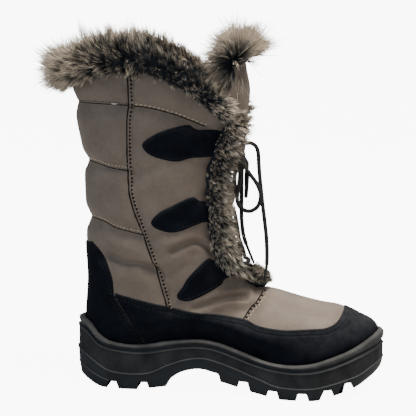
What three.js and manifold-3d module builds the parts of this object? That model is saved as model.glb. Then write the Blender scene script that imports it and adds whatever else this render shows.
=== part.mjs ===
// Snow boot, the right one: rubber cup sole, padded nylon shaft, suede patches, fur and laces.
// Millimetres. +X to the toe, +Z up, +Y to the medial side, origin on the floor under the heel.
import * as THREE from "three";
import { mergeVertices } from "three/addons/utils/BufferGeometryUtils.js";
import Module from "manifold-3d";

const wasm = await Module();
wasm.setup();

// Driving dimensions
const soleLength = 288;
const ballWidth = 108;
const heelToBack = 54; // from the origin to the back of the sole
const soleHeight = 43; // side of the sole, to the top of its rim at the waist
const rimWidth = 5; // lip of the sole round the upper
const waistInset = 2; // extra width of the lip along the waist
const heelLean = 3; // how far the back of the sole leans in towards its rim
const lugDepth = 7.5;
const grooveWidth = 10.5;
const channelWidth = 8; // lengthwise channel between the forefoot lugs
const instepHeight = 95; // lower end of the throat
const shaftHeight = 292; // collar at the side
const wallThickness = 2.5; // nylon, padding and lining
const quiltDepth = 3; // how far a quilting seam sinks between two puffs
const quiltSpread = 8; // half width of that trough
const suedeThickness = 1.2;
const tabThickness = 1.8;
const insoleThickness = 4.5;
const tongueThickness = 5;
const throatHalfWidth = 28; // at the top of the throat
const laceDiameter = 3.8;
const agletLength = 19;
const agletDiameter = 2.6;
const knotSize = 12;
const collarPile = 35; // thickness of the fur roll on the collar
const placketPile = 22; // and beside the throat
const tonguePile = 35;
const lockLength = 17;
const lockWidth = 9;
const gap = 0.3; // between pieces that meet
const suedeTuck = 4; // how far the suede reaches down behind the rim
const blendStart = 3; // the upper leaves the outline of the sole from here above the rim
const blendEnd = 22; // and has its own shape from here up

// Rows of the sections table that are drawn, closer together where the shaft is quilted
const ringRows = [0, 1, 2, 2.5, 3, 3.5, 4, 4.5, 5, 5.5, 6, 6.5, 7, 8, 9, 10, 11, 12, 13, 14, 14.5];
ringRows.push(15, 15.5, 16, 17, 18, 19, 20, 21);
const ringPoints = 18; // points round each of them

// Rows with named columns
function table(names, rows) {
  const keys = names.split(" ");
  return rows.map((row) => Object.fromEntries(keys.map((key, i) => [key, row[i]])));
}

// Smooth value of a column at a fractional row number
function atRow(rows, key, v) {
  const i = Math.max(0, Math.min(rows.length - 2, Math.floor(v)));
  const t = v - i;
  const pick = (k) => rows[Math.max(0, Math.min(rows.length - 1, k))][key];
  const [a, b, c, d] = [pick(i - 1), pick(i), pick(i + 1), pick(i + 2)];
  const curve = (2 * a - 5 * b + 4 * c - d) * t * t + (3 * b - a - 3 * c + d) * t * t * t;
  return 0.5 * (2 * b + (c - a) * t + curve);
}

// Smooth value of a column where the column "at" has the given share
function atShare(rows, key, share) {
  let i = 0;
  while (i < rows.length - 2 && rows[i + 1].at < share) i += 1;
  const t = (share - rows[i].at) / (rows[i + 1].at - rows[i].at);
  return atRow(rows, key, i + Math.max(0, Math.min(1, t)));
}

const mix = (a, b, t) => a + (b - a) * t;
const ease = (low, high, value) => THREE.MathUtils.smoothstep(value, low, high);

// A share of the sole's length as x, and the other way
const along = (share) => share * soleLength - heelToBack;
const shareOf = (x) => (x + heelToBack) / soleLength;

// Heights count in insteps up to 1, and above that in the rest of the shaft
function height(up) {
  return up <= 1 ? up * instepHeight : mix(instepHeight, shaftHeight, up - 1);
}

// Half widths of the sole, as shares of the ball width, from the heel's back to the toe
const outline = table("at lateral medial", [
  [0, 0, 0],
  [0.012, 0.115, 0.11],
  [0.035, 0.195, 0.19],
  [0.075, 0.28, 0.268],
  [0.13, 0.335, 0.318],
  [0.22, 0.35, 0.335],
  [0.34, 0.335, 0.302],
  [0.45, 0.345, 0.294],
  [0.56, 0.4, 0.345],
  [0.66, 0.47, 0.432],
  [0.74, 0.5, 0.48],
  [0.82, 0.475, 0.475],
  [0.9, 0.38, 0.415],
  [0.95, 0.26, 0.32],
  [0.985, 0.1, 0.205],
  [1, -0.065, 0.065],
]);

// Heights on the side of the sole, as shares of its height
const side = table("at lug ridge groove rim floor", [
  [0, 0.209, 0.779, 1.279, 1.453, 0.721],
  [0.045, 0.107, 0.698, 1.221, 1.384, 0.721],
  [0.086, 0.019, 0.558, 1.012, 1.186, 0.721],
  [0.125, 0, 0.43, 0.921, 1.065, 0.721],
  [0.18, 0, 0.377, 0.872, 1.005, 0.721],
  [0.23, 0, 0.381, 0.856, 1, 0.721],
  [0.265, 0.044, 0.419, 0.874, 1.028, 0.737],
  [0.31, 0.084, 0.558, 0.93, 1.084, 0.791],
  [0.37, 0.14, 0.705, 0.991, 1.13, 0.849],
  [0.43, 0.209, 0.767, 1.014, 1.153, 0.874],
  [0.485, 0.244, 0.702, 0.96, 1.1, 0.826],
  [0.535, 0.177, 0.605, 0.86, 1.005, 0.733],
  [0.58, 0.105, 0.5, 0.767, 0.907, 0.64],
  [0.63, 0.049, 0.395, 0.693, 0.809, 0.553],
  [0.67, 0, 0.31, 0.652, 0.77, 0.505],
  [0.72, 0, 0.284, 0.63, 0.763, 0.488],
  [0.79, 0, 0.3, 0.655, 0.815, 0.5],
  [0.852, 0.084, 0.381, 0.744, 0.93, 0.535],
  [0.893, 0.163, 0.451, 0.833, 1.019, 0.581],
  [0.93, 0.244, 0.521, 0.919, 1.116, 0.628],
  [0.98, 0.395, 0.674, 1.012, 1.256, 0.721],
  [1, 0.453, 0.721, 1.035, 1.302, 0.767],
]);

// Rings up the outside of the sole: between which heights, then rise and inset in rim widths
const steps = table("from to share rise inset", [
  ["lug", "ridge", 0, 0, 0.64],
  ["lug", "ridge", 0.5, 0, 0.28],
  ["ridge", "groove", 0, -0.18, 0.2],
  ["ridge", "groove", 0, 0, 0],
  ["ridge", "groove", 0, 0.2, 0.18],
  ["groove", "rim", 0, -0.34, 0.18],
  ["groove", "rim", 0, -0.16, 0.04],
  ["groove", "rim", 0, 0, 0.18],
  ["groove", "rim", 0, 0.14, 0.52],
  ["groove", "rim", 0, 0.3, 0.2],
  ["rim", "rim", 0, -0.4, 0.08],
  ["rim", "rim", 0, -0.12, 0.24],
  ["rim", "rim", 0, 0, 0.52],
  ["rim", "rim", 0, 0, 1],
]);

// Grooves between the lugs: where, and how far each turns from straight across, in degrees
const grooves = table("at turn", [
  [0.14, 0],
  [0.24, 0],
  [0.556, 4],
  [0.655, 2],
  [0.755, 0],
  [0.843, -4],
  [0.911, -9],
]);

// Ceiling of the arch in front of the heel, heights as shares of the sole's height
const arch = [
  [0.309, -0.1],
  [0.313, 0.09],
  [0.322, 0.23],
  [0.358, 0.414],
  [0.399, 0.502],
  [0.432, 0.514],
  [0.462, 0.47],
  [0.484, 0.42],
  [0.491, 0.23],
  [0.493, -0.1],
];

// Sections of the last, from above the collar, round the heel and to the toe.
// Places are shares of the sole's length, heights in the steps of height(), widths in ball widths.
const sections = table(
  "frontAt frontUp backAt backUp lateral medial middle widest backPower frontPower",
  [
    [0.572, 2.112, -0.014, 2.112, 0.463, 0.463, 0, 0.46, 2.3, 2.3],
    [0.582, 2.02, -0.008, 2.01, 0.463, 0.463, 0, 0.46, 2.3, 2.3],
    [0.591, 1.898, 0.006, 1.878, 0.463, 0.463, 0, 0.46, 2.3, 2.3],
    [0.577, 1.777, 0.016, 1.756, 0.458, 0.458, 0, 0.46, 2.3, 2.3],
    [0.53, 1.645, 0.029, 1.645, 0.449, 0.449, 0, 0.47, 2.3, 2.3],
    [0.503, 1.523, 0.035, 1.523, 0.44, 0.435, 0, 0.48, 2.3, 2.2],
    [0.503, 1.391, 0.038, 1.391, 0.426, 0.421, 0, 0.48, 2.3, 2.2],
    [0.51, 1.269, 0.042, 1.259, 0.407, 0.398, 0, 0.48, 2.25, 2.2],
    [0.524, 1.178, 0.044, 1.127, 0.389, 0.38, 0, 0.48, 2.25, 2.2],
    [0.545, 1.112, 0.042, 0.989, 0.375, 0.361, 0.005, 0.48, 2.25, 2.2],
    [0.569, 1.063, 0.037, 0.695, 0.37, 0.352, 0.009, 0.48, 2.25, 2.2],
    [0.594, 1.025, 0.024, 0.442, 0.375, 0.352, 0.014, 0.48, 2.4, 2.2],
    [0.616, 1.003, 0.049, 0.263, 0.38, 0.356, 0.019, 0.46, 2.6, 2.2],
    [0.639, 0.981, 0.149, 0.2, 0.394, 0.37, 0.019, 0.42, 2.8, 2.2],
    [0.674, 0.94, 0.288, 0.232, 0.407, 0.389, 0.019, 0.38, 2.8, 2.2],
    [0.729, 0.885, 0.462, 0.221, 0.431, 0.417, 0.014, 0.36, 2.8, 2.25],
    [0.792, 0.841, 0.646, 0.126, 0.44, 0.431, 0.014, 0.36, 2.8, 2.35],
    [0.851, 0.812, 0.771, 0.126, 0.412, 0.412, 0.023, 0.37, 2.8, 2.4],
    [0.899, 0.75, 0.861, 0.147, 0.347, 0.352, 0.037, 0.38, 2.7, 2.4],
    [0.935, 0.685, 0.917, 0.189, 0.259, 0.269, 0.051, 0.39, 2.6, 2.3],
    [0.955, 0.625, 0.946, 0.232, 0.162, 0.167, 0.06, 0.4, 2.4, 2.2],
    [0.967, 0.537, 0.962, 0.295, 0.074, 0.074, 0.065, 0.45, 2.2, 2.2],
  ],
);

// Quilting seams of the shaft, in the side view, and the soft fold over the heel
const quilts = [
  { depth: 0.75, line: [[-0.1, 1.87], [0.2, 1.87], [0.334, 1.836], [0.45, 1.79]] },
  { depth: 1, line: [[-0.1, 1.648], [0.074, 1.643], [0.147, 1.596], [0.2, 1.581]] },
  { depth: 1, line: [[-0.1, 1.375], [0.086, 1.368], [0.156, 1.31], [0.247, 1.28]] },
  { depth: 0.5, line: [[0.13, 1.152], [0.184, 1.127], [0.24, 1.122], [0.29, 1.1]] },
  {
    depth: 0.5,
    line: [[0.217, 1.99], [0.219, 1.87], [0.213, 1.741], [0.217, 1.462], [0.255, 1.279], [0.296, 1.1]],
  },
];

// Collar line, from the back to the corner of the throat
const collarLine = [
  [-0.15, 2.005], [0.1, 2.004], [0.21, 2], [0.292, 2.007], [0.335, 1.972], [0.388, 1.911],
  [0.441, 1.871], [0.465, 1.834], [0.507, 1.792], [0.542, 1.767], [0.66, 1.72],
];

// Half width of the throat at each height, as shares of its width at the top
const throat = table("at wide", [
  [0.98, 0.3],
  [1.03, 0.5],
  [1.15, 0.72],
  [1.5, 0.86],
  [1.75, 1],
  [2.4, 1.05],
]);

// Suede patches in the side view
const counterEdge = [
  [-0.2, 1.2], [0.045, 1.2], [0.073, 1.212], [0.101, 1.178], [0.126, 1.119], [0.144, 1.05],
  [0.149, 0.958], [0.152, 0.921], [0.202, 0.684], [0.241, 0.478], [0.252, 0.42],
];
const guardTop = [
  [0.155, 0.958], [0.234, 0.905], [0.326, 0.847], [0.417, 0.795], [0.462, 0.786], [0.565, 0.744],
  [0.615, 0.691], [0.691, 0.663], [0.766, 0.672], [0.819, 0.68], [0.853, 0.72], [0.874, 0.8],
];
const tabOutlines = [
  [
    [0.252, 1.68], [0.274, 1.716], [0.323, 1.751], [0.392, 1.774], [0.42, 1.752], [0.493, 1.741],
    [0.493, 1.64], [0.403, 1.622], [0.351, 1.608], [0.28, 1.635],
  ],
  [
    [0.276, 1.325], [0.3, 1.37], [0.337, 1.4], [0.401, 1.442], [0.427, 1.421], [0.483, 1.411],
    [0.483, 1.325], [0.431, 1.32], [0.352, 1.279], [0.299, 1.292],
  ],
  [
    [0.353, 0.964], [0.37, 1.02], [0.392, 1.071], [0.446, 1.15], [0.469, 1.137], [0.542, 1.081],
    [0.5, 1.051], [0.486, 1.024], [0.401, 0.914], [0.361, 0.916],
  ],
];

// Material of each kind of piece
function finish(color, roughness) {
  return new THREE.MeshStandardMaterial({ color, roughness, metalness: 0 });
}
const nylon = finish(0x6e655e, 0.5);
const suede = finish(0x111318, 0.95);
const rubber = finish(0x303236, 0.75);
const board = finish(0x2b2b2d, 0.9);
const fur = finish(0x57504a, 1);
const cordFinish = finish(0x17171a, 0.8);
const plastic = finish(0x0c0c0e, 0.4);

// A closed solid from points and triangles, turned to face outwards
function solidOf(positions, triangles) {
  const geometry = new THREE.BufferGeometry();
  geometry.setAttribute("position", new THREE.Float32BufferAttribute(positions, 3));
  geometry.setIndex(triangles);
  return solidOfGeometry(geometry);
}

function solidOfGeometry(geometry) {
  geometry.deleteAttribute("normal");
  geometry.deleteAttribute("uv");
  const merged = mergeVertices(geometry, 1e-4);
  const index = merged.index.array;
  const place = merged.attributes.position.array;
  const kept = [];
  let volume = 0;
  const [a, b, c] = [new THREE.Vector3(), new THREE.Vector3(), new THREE.Vector3()];
  for (let i = 0; i < index.length; i += 3) {
    const [p, q, r] = [index[i], index[i + 1], index[i + 2]];
    if (p === q || q === r || r === p) continue;
    kept.push(p, q, r);
    volume += a.fromArray(place, 3 * p).dot(b.fromArray(place, 3 * q).cross(c.fromArray(place, 3 * r)));
  }
  if (volume < 0) kept.reverse();
  const mesh = new wasm.Mesh({ numProp: 3, vertProperties: place, triVerts: new Uint32Array(kept) });
  return new wasm.Manifold(mesh);
}

// The largest body of a solid, for a cut that leaves a crumb beside it
function largest(solid) {
  return solid.decompose().sort((p, q) => q.volume() - p.volume())[0];
}

function meshOf(name, solid, material) {
  const data = solid.getMesh();
  const geometry = new THREE.BufferGeometry();
  geometry.setAttribute("position", new THREE.BufferAttribute(data.vertProperties.slice(), 3));
  geometry.setIndex(new THREE.BufferAttribute(data.triVerts.slice(), 1));
  const mesh = new THREE.Mesh(geometry, material);
  mesh.name = name;
  return mesh;
}

// Skins a list of closed loops, each an array of Vector3, and closes both ends on their middles
function loft(loops) {
  const count = loops[0].length;
  const positions = loops.flat().flatMap((p) => p.toArray());
  const triangles = [];
  for (let j = 0; j + 1 < loops.length; j += 1)
    for (let k = 0; k < count; k += 1) {
      const [p, q] = [j * count + k, j * count + ((k + 1) % count)];
      triangles.push(p, q, q + count, p, q + count, p + count);
    }
  const addCap = (first, turn) => {
    const middle = new THREE.Vector3();
    loops[first].forEach((p) => middle.addScaledVector(p, 1 / count));
    positions.push(...middle.toArray());
    const centre = positions.length / 3 - 1;
    for (let k = 0; k < count; k += 1) {
      const [p, q] = [first * count + k, first * count + ((k + 1) % count)];
      triangles.push(...(turn ? [q, p, centre] : [p, q, centre]));
    }
  };
  addCap(0, true);
  addCap(loops.length - 1, false);
  return solidOf(positions, triangles);
}

// Straight cut through the boot: an outline in the side view between two values of y
function sideCut(points, low, high) {
  const shape = new THREE.Shape(points.map(([x, z]) => new THREE.Vector2(x, z)));
  const geometry = new THREE.ExtrudeGeometry(shape, { depth: high - low, bevelEnabled: false });
  const turn = new THREE.Matrix4().makeRotationX(Math.PI / 2).setPosition(0, high, 0);
  return solidOfGeometry(geometry.applyMatrix4(turn));
}

// The same for an outline in the front view, between two values of x
function frontCut(points, low, high) {
  const shape = new THREE.Shape(points.map(([y, z]) => new THREE.Vector2(y, z)));
  const geometry = new THREE.ExtrudeGeometry(shape, { depth: high - low, bevelEnabled: false });
  const [x, y, z] = [[1, 0, 0], [0, 1, 0], [0, 0, 1]].map((axis) => new THREE.Vector3(...axis));
  const turn = new THREE.Matrix4().makeBasis(y, z, x).setPosition(low, 0, 0);
  return solidOfGeometry(geometry.applyMatrix4(turn));
}

const placed = (points) => points.map(([at, up]) => [along(at), height(up)]);

// A rounded line through chosen points, open or closed
function rounded(points, closed, count) {
  const curve = new THREE.CatmullRomCurve3(
    points.map(([x, z]) => new THREE.Vector3(x, z, 0)),
    closed,
    "centripetal",
  );
  return curve.getPoints(count).map((p) => [p.x, p.y]).slice(0, closed ? count : count + 1);
}

// Outline of the sole: stations from heel to toe, each with a lateral and a medial point
const stationCount = 30;
const stations = Array.from({ length: stationCount + 1 }, (_, i) => {
  const v = (i / stationCount) * (outline.length - 1);
  const at = Math.max(0, Math.min(1, atRow(outline, "at", v)));
  return {
    at,
    lateral: -atRow(outline, "lateral", v) * ballWidth,
    medial: atRow(outline, "medial", v) * ballWidth,
  };
});

// The loop of that outline, moved in by an inset that may depend on the share of the length
function soleLoop(insetAt, heightAt) {
  const there = stations.map((s) => ({ at: s.at, x: along(s.at), y: s.lateral }));
  const back = stations.slice(1, -1).reverse();
  const loop = there.concat(back.map((s) => ({ at: s.at, x: along(s.at), y: s.medial })));
  return loop.map((point, i) => {
    const before = loop[(i + loop.length - 1) % loop.length];
    const after = loop[(i + 1) % loop.length];
    const size = Math.hypot(after.x - before.x, after.y - before.y);
    const inset = insetAt(point.at);
    const x = point.x - ((after.y - before.y) / size) * inset;
    const y = point.y + ((after.x - before.x) / size) * inset;
    return new THREE.Vector3(x, y, heightAt(point.at));
  });
}

const sideHeight = (key, at) => atShare(side, key, at) * soleHeight;
const leanAt = (at) => heelLean * (1 - ease(0, 0.14, at));

// Closes a stack of such loops with strips that run across from side to side
function soleStack(loops) {
  const count = loops[0].length;
  const positions = loops.flat().flatMap((p) => p.toArray());
  const triangles = [];
  for (let j = 0; j + 1 < loops.length; j += 1)
    for (let k = 0; k < count; k += 1) {
      const [p, q] = [j * count + k, j * count + ((k + 1) % count)];
      triangles.push(p, q, q + count, p, q + count, p + count);
    }
  const addStrips = (first, turn) => {
    for (let k = 0; k < count / 2; k += 1) {
      const [a, b] = [first + k, first + k + 1];
      const [c, d] = [first + ((count - k - 1) % count), first + ((count - k) % count)];
      const faces = turn ? [b, a, d, b, d, c] : [a, b, d, b, c, d];
      triangles.push(...faces);
    }
  };
  addStrips(0, true);
  addStrips((loops.length - 1) * count, false);
  return solidOf(positions, triangles);
}

function makeOutsole() {
  const levels = steps.map((step, i) => {
    const lean = i / steps.length;
    const level = (at) => {
      const z = mix(sideHeight(step.from, at), sideHeight(step.to, at), step.share);
      return Math.max(0, z) + step.rise * rimWidth;
    };
    return soleLoop((at) => step.inset * rimWidth + lean * leanAt(at), level);
  });
  let sole = soleStack(levels);
  grooves.forEach(({ at, turn }) => {
    const base = Math.max(0, sideHeight("lug", at));
    const [mouth, ceiling] = [grooveWidth * 0.62, grooveWidth * 0.27];
    const outlineOfGroove = [
      [-mouth, base - 2], [mouth, base - 2], [ceiling, base + lugDepth], [-ceiling, base + lugDepth],
    ];
    const shape = new THREE.Shape(outlineOfGroove.map(([x, z]) => new THREE.Vector2(x, z)));
    const cut = new THREE.ExtrudeGeometry(shape, { depth: 2 * ballWidth, bevelEnabled: false });
    cut.rotateX(Math.PI / 2).translate(0, ballWidth, 0);
    cut.rotateZ(THREE.MathUtils.degToRad(turn)).translate(along(at), 0, 0);
    sole = sole.subtract(solidOfGeometry(cut));
  });
  const archShape = arch.map(([at, up]) => [along(at), up * soleHeight]);
  const archCurve = [archShape[0], ...rounded(archShape.slice(1, -1), false, 16), archShape.at(-1)];
  sole = sole.subtract(sideCut(archCurve, -ballWidth, ballWidth));
  const channel = [0.5, 0.6, 0.72, 0.84, 0.95].map((at) => [
    along(at),
    Math.max(0, sideHeight("lug", at)) + lugDepth * 0.7,
  ]);
  channel.push([along(0.95), -lugDepth], [along(0.5), -lugDepth]);
  sole = sole.subtract(sideCut(channel, -channelWidth / 2, channelWidth / 2));
  return sole.subtract(form(3 * gap + suedeThickness).subtract(underFloor(0)));
}

// The upper's outer face meets the cup of the sole at this inset
const cupInset = rimWidth + gap + suedeThickness + gap;
const waistAt = (at) => waistInset * (ease(0.3, 0.42, at) - ease(0.6, 0.74, at));
const cupLoop = soleLoop((at) => cupInset + leanAt(at) + waistAt(at), () => 0);
const heelSpine = along(0.13);
const toeSpine = along(0.81);

// Distance from a point to the cup's loop in a direction
function reachInCup(x, y, dx, dy) {
  let best = 0;
  cupLoop.forEach((p, i) => {
    const q = cupLoop[(i + 1) % cupLoop.length];
    const [ex, ey] = [q.x - p.x, q.y - p.y];
    const cross = dx * ey - dy * ex;
    if (Math.abs(cross) < 1e-9) return;
    const reach = ((p.x - x) * ey - (p.y - y) * ex) / cross;
    const share = ((p.x - x) * dy - (p.y - y) * dx) / cross;
    if (share >= -1e-6 && share <= 1 + 1e-6 && reach > best) best = reach;
  });
  return best;
}

// Moves a point near the feather line onto the cup's loop
function fitToSole(p) {
  const at = Math.max(0, Math.min(1, shareOf(p.x)));
  const rim = sideHeight("rim", at);
  const floor = sideHeight("floor", at);
  const weight = 1 - ease(rim + blendStart, rim + blendEnd, p.z);
  const under = 1 - ease(floor - 2 * blendStart, floor - 1, p.z);
  if (weight <= 0) return p;
  const x = Math.max(heelSpine, Math.min(toeSpine, p.x));
  const share = shareOf(x);
  const middle = 0.5 * (atShare(outline, "medial", share) - atShare(outline, "lateral", share));
  const y = middle * ballWidth;
  const size = Math.hypot(p.x - x, p.y - y);
  if (size < 1) return p;
  const [dx, dy] = [(p.x - x) / size, (p.y - y) / size];
  const edge = reachInCup(x, y, dx, dy);
  const reach = mix(edge, Math.min(size, edge), under);
  return new THREE.Vector3(mix(p.x, x + dx * reach, weight), mix(p.y, y + dy * reach, weight), p.z);
}

// A point of the last: v counts rows of the sections, turn goes round from the front (0) to the back
function lastPoint(v, turn) {
  const get = (key) => atRow(sections, key, v);
  const front = Math.cos(turn) >= 0;
  const power = 2 / get(front ? "frontPower" : "backPower");
  const reach = Math.abs(Math.cos(turn)) ** power;
  const widest = get("widest");
  const share = front ? mix(widest, 1, reach) : mix(widest, 0, reach);
  const lateral = Math.sin(turn) < 0;
  const half = Math.abs(Math.sin(turn)) ** power * get(lateral ? "lateral" : "medial");
  const y = (get("middle") + (lateral ? -half : half)) * ballWidth;
  const x = mix(along(get("backAt")), along(get("frontAt")), share);
  const z = mix(height(get("backUp")), height(get("frontUp")), share);
  return fitToSole(new THREE.Vector3(x, y, z));
}

const turns = Array.from({ length: ringPoints }, (_, k) => (2 * Math.PI * k) / ringPoints);
const lastGrid = ringRows.map((v) => turns.map((turn) => lastPoint(v, turn)));

// Outward direction at each point of that grid
const lastNormals = lastGrid.map((ring, j) =>
  ring.map((_, k) => {
    const above = lastGrid[Math.max(0, j - 1)][k];
    const below = lastGrid[Math.min(ringRows.length - 1, j + 1)][k];
    const before = ring[(k + ringPoints - 1) % ringPoints];
    const after = ring[(k + 1) % ringPoints];
    const down = below.clone().sub(above);
    return after.clone().sub(before).cross(down).normalize().negate();
  }),
);

// How far the quilting pulls the wall in at a point
const quiltLines = quilts.map(({ depth, line }) => ({ depth, line: placed(line) }));
function quiltAt(p) {
  let sink = 0;
  quiltLines.forEach(({ depth, line }) => {
    let near = Infinity;
    for (let i = 0; i + 1 < line.length; i += 1) {
      const [[ax, az], [bx, bz]] = [line[i], line[i + 1]];
      const [ex, ez] = [bx - ax, bz - az];
      const t = Math.max(0, Math.min(1, ((p.x - ax) * ex + (p.z - az) * ez) / (ex * ex + ez * ez)));
      near = Math.min(near, Math.hypot(p.x - ax - t * ex, p.z - az - t * ez));
    }
    sink = Math.max(sink, depth * quiltDepth * Math.exp(-((near / quiltSpread) ** 2)));
  });
  return sink;
}

// Depth of the padding of the shaft: the lining lies this far inside the tops of the puffs
const paddingAt = (p) => quiltDepth * ease(0.9 * instepHeight, 1.4 * instepHeight, p.z);

// The outer face of the upper, moved out by an offset, as a closed solid
function form(offset) {
  const place = (p, j, k) => p.clone().addScaledVector(lastNormals[j][k], offset - quiltAt(p));
  return loft(lastGrid.map((ring, j) => ring.map((p, k) => place(p, j, k))));
}

// The face of the lining, which is smooth, moved in by an inset, down to a chosen row
function lining(inset, lastRow = sections.length) {
  const loops = [];
  lastGrid.forEach((ring, j) => {
    const row = ringRows[j];
    const coarse = row % 2 === 0 || (row > 6 && row % 1 === 0);
    if (!coarse || row > lastRow) return;
    const place = (p, k) => p.clone().addScaledVector(lastNormals[j][k], -wallThickness - inset - paddingAt(p));
    loops.push(ring.map(place));
  });
  return loft(loops);
}

// Region above the collar, grown by a clearance
function aboveCollar(clearance) {
  const line = placed(collarLine).map(([x, z]) => [x, z - clearance]);
  const top = 3 * shaftHeight;
  return sideCut([...line, [line.at(-1)[0], top], [line[0][0], top]], -ballWidth, ballWidth);
}

// Region of the throat opening, narrowed by a clearance
function throatCut(clearance) {
  const heights = [0.99, 1.03, 1.08, 1.15, 1.3, 1.5, 1.75, 2.4];
  const half = heights.map((up) => [throatHalf(up) - clearance, height(up) + clearance]);
  const other = half.map(([y, z]) => [-y, z]).reverse();
  return frontCut([...half, ...other], along(0.38), along(0.9));
}

const throatHalf = (up) => atShare(throat, "wide", up) * throatHalfWidth;

// Everything under the floor of the sole's cup, raised by a clearance
const floorShares = [-0.2, 0.25, 0.31, 0.37, 0.43, 0.485, 0.535, 0.58, 0.63, 0.67, 0.79, 0.86, 0.93, 1, 1.2];
function underFloor(rise) {
  const line = floorShares.map((at) => [along(at), sideHeight("floor", Math.min(at, 1)) + rise]);
  const [start, end] = [line[0][0], line.at(-1)[0]];
  return sideCut([...line, [end, -soleHeight], [start, -soleHeight]], -ballWidth, ballWidth);
}

// The wall of the upper grown by two offsets, open at the collar, the throat and underneath
function shell(outer, inner, clearance) {
  const walls = form(outer).subtract(lining(inner));
  const open = walls.subtract(aboveCollar(-clearance)).subtract(throatCut(clearance));
  return open.subtract(underFloor(gap));
}

function makeUpper() {
  return largest(shell(0, 0, 0));
}

// A patch lying on the upper, cut by an outline in the side view
function patch(thickness, region) {
  return form(2 * gap + thickness).subtract(form(2 * gap)).intersect(region);
}

// Lower edge of the suede, hidden behind the rim of the sole
function rimLine(drop) {
  return stations.map(({ at }) => [along(at), sideHeight("rim", at) - drop]);
}

function makeHeelCounter() {
  const edge = placed(counterEdge);
  const end = shareOf(edge.at(-1)[0]);
  const low = rimLine(suedeTuck).filter(([x]) => shareOf(x) < end).reverse();
  low.push([edge[0][0], low.at(-1)[1]]);
  return largest(patch(suedeThickness, sideCut([...edge, ...low], -ballWidth, ballWidth)));
}

function makeMudguard() {
  const seam = placed(counterEdge.slice(6)).map(([x, z]) => [x + 2 * gap, z]);
  const start = shareOf(seam.at(-1)[0]);
  const low = rimLine(suedeTuck).filter(([x]) => shareOf(x) > start);
  const top = placed(guardTop).reverse();
  const toe = [[along(1.1), low.at(-1)[1]], [along(1.1), height(1.2)], [top[0][0], height(1.2)]];
  const region = sideCut([...seam, ...low, ...toe, ...top], -ballWidth, ballWidth);
  return largest(patch(suedeThickness, region));
}

// Raised strip over the upright seam of each side
function makeSeamStrip(sign) {
  const middle = placed(quilts[4].line.slice(0, -1).concat([[0.318, 0.98], [0.325, 0.9]]));
  const line = rounded(middle, false, 7);
  const left = line.map(([x, z]) => [x - seamWidth / 2, z]);
  const right = line.map(([x, z]) => [x + seamWidth / 2, z]).reverse();
  const region = sideCut([...left, ...right], ...sideRange(sign));
  const trimmed = patch(suedeThickness * 0.6, region).subtract(aboveCollar(gap));
  return largest(trimmed);
}

const seamWidth = 5.5;
const sideRange = (sign) => (sign < 0 ? [-ballWidth, 0] : [0, ballWidth]);

function tabBody(index, sign, clearance) {
  const line = rounded(placed(tabOutlines[index]), true, 12);
  const longer = line.map(([x, z]) => [x + (x > line[0][0] ? clearance : 0), z]);
  return patch(tabThickness + clearance, sideCut(longer, ...sideRange(sign)));
}

function makeLaceTab(index, sign) {
  return largest(tabBody(index, sign, 0));
}

function makeInsole() {
  const layer = underFloor(gap + insoleThickness).subtract(underFloor(gap));
  return lining(gap).intersect(layer);
}

// Outer face of the tongue, under the wall of the upper
const tongueTop = 2.04;
function tongueRegion(clearance) {
  const half = throatHalfWidth * 1.15 + clearance;
  const [low, high] = [height(1.0), height(tongueTop) + clearance];
  const corner = half * 0.55;
  const outlineOfTongue = [
    [-half * 0.6, low], [half * 0.6, low], [half, height(1.4)], [half, height(1.85)],
    [corner, high - 6], [0, high], [-corner, high - 6], [-half, height(1.85)], [-half, height(1.4)],
  ];
  return frontCut(outlineOfTongue, along(0.4), along(0.9));
}

const tongueEndRow = 13;
function tongueBody(clearance) {
  const outer = lining(gap - clearance, tongueEndRow);
  const body = outer.subtract(lining(gap + tongueThickness + clearance, tongueEndRow));
  return body.intersect(tongueRegion(clearance));
}

function makeTongue() {
  return largest(tongueBody(0));
}

// A repeatable number between 0 and 1 for each lock of the fur
const chance = (seed) => Math.abs(Math.sin(seed * 12.9898) * 43758.5453) % 1;

// One lock: a four-sided spike from inside the pile
function makeLock(base, direction, length, width) {
  const cone = new THREE.ConeGeometry(width * 0.6, length, 4, 1);
  const turn = new THREE.Quaternion().setFromUnitVectors(new THREE.Vector3(0, 1, 0), direction);
  cone.translate(0, length / 2, 0).applyQuaternion(turn).translate(base.x, base.y, base.z);
  return solidOfGeometry(cone);
}

// A roll of fur along a path. Each stop has a place, an outward and an upward direction and a pile.
function makeFur(stops, locksPerStop, sweep) {
  const sides = 7;
  const path = stops.map((stop) => stop.place);
  const loops = stops.map((stop, i) => {
    const taper = i === 0 || i === stops.length - 1 ? 0.45 : 1;
    return Array.from({ length: sides }, (_, k) => {
      const turn = (2 * Math.PI * k) / sides;
      const radius = 0.5 * stop.pile * taper * (0.9 + 0.2 * chance(i * sides + k));
      const point = stop.place.clone().addScaledVector(stop.out, Math.cos(turn) * radius);
      return point.addScaledVector(stop.up, Math.sin(turn) * radius);
    });
  });
  const locks = [];
  for (let i = 1; i < stops.length - 1; i += 1)
    for (let k = 0; k < locksPerStop; k += 1) {
      const seed = i * locksPerStop + k;
      const turn = mix(sweep[0], sweep[1], (k + chance(seed)) / locksPerStop);
      const direction = stops[i].out.clone().multiplyScalar(Math.cos(turn));
      direction.addScaledVector(stops[i].up, Math.sin(turn));
      const skew = path[i + 1].clone().sub(path[i - 1]).normalize();
      direction.addScaledVector(skew, 0.7 * (chance(seed + 0.37) - 0.5)).normalize();
      const base = stops[i].place.clone().addScaledVector(direction, stops[i].pile * 0.2);
      const length = stops[i].pile * 0.3 + lockLength * stops[i].reach * (0.7 + 0.5 * chance(seed + 0.71));
      locks.push(makeLock(base, direction, length, lockWidth * (0.8 + 0.4 * chance(seed + 0.53))));
    }
  return wasm.Manifold.union([loft(loops), ...locks]);
}

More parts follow.
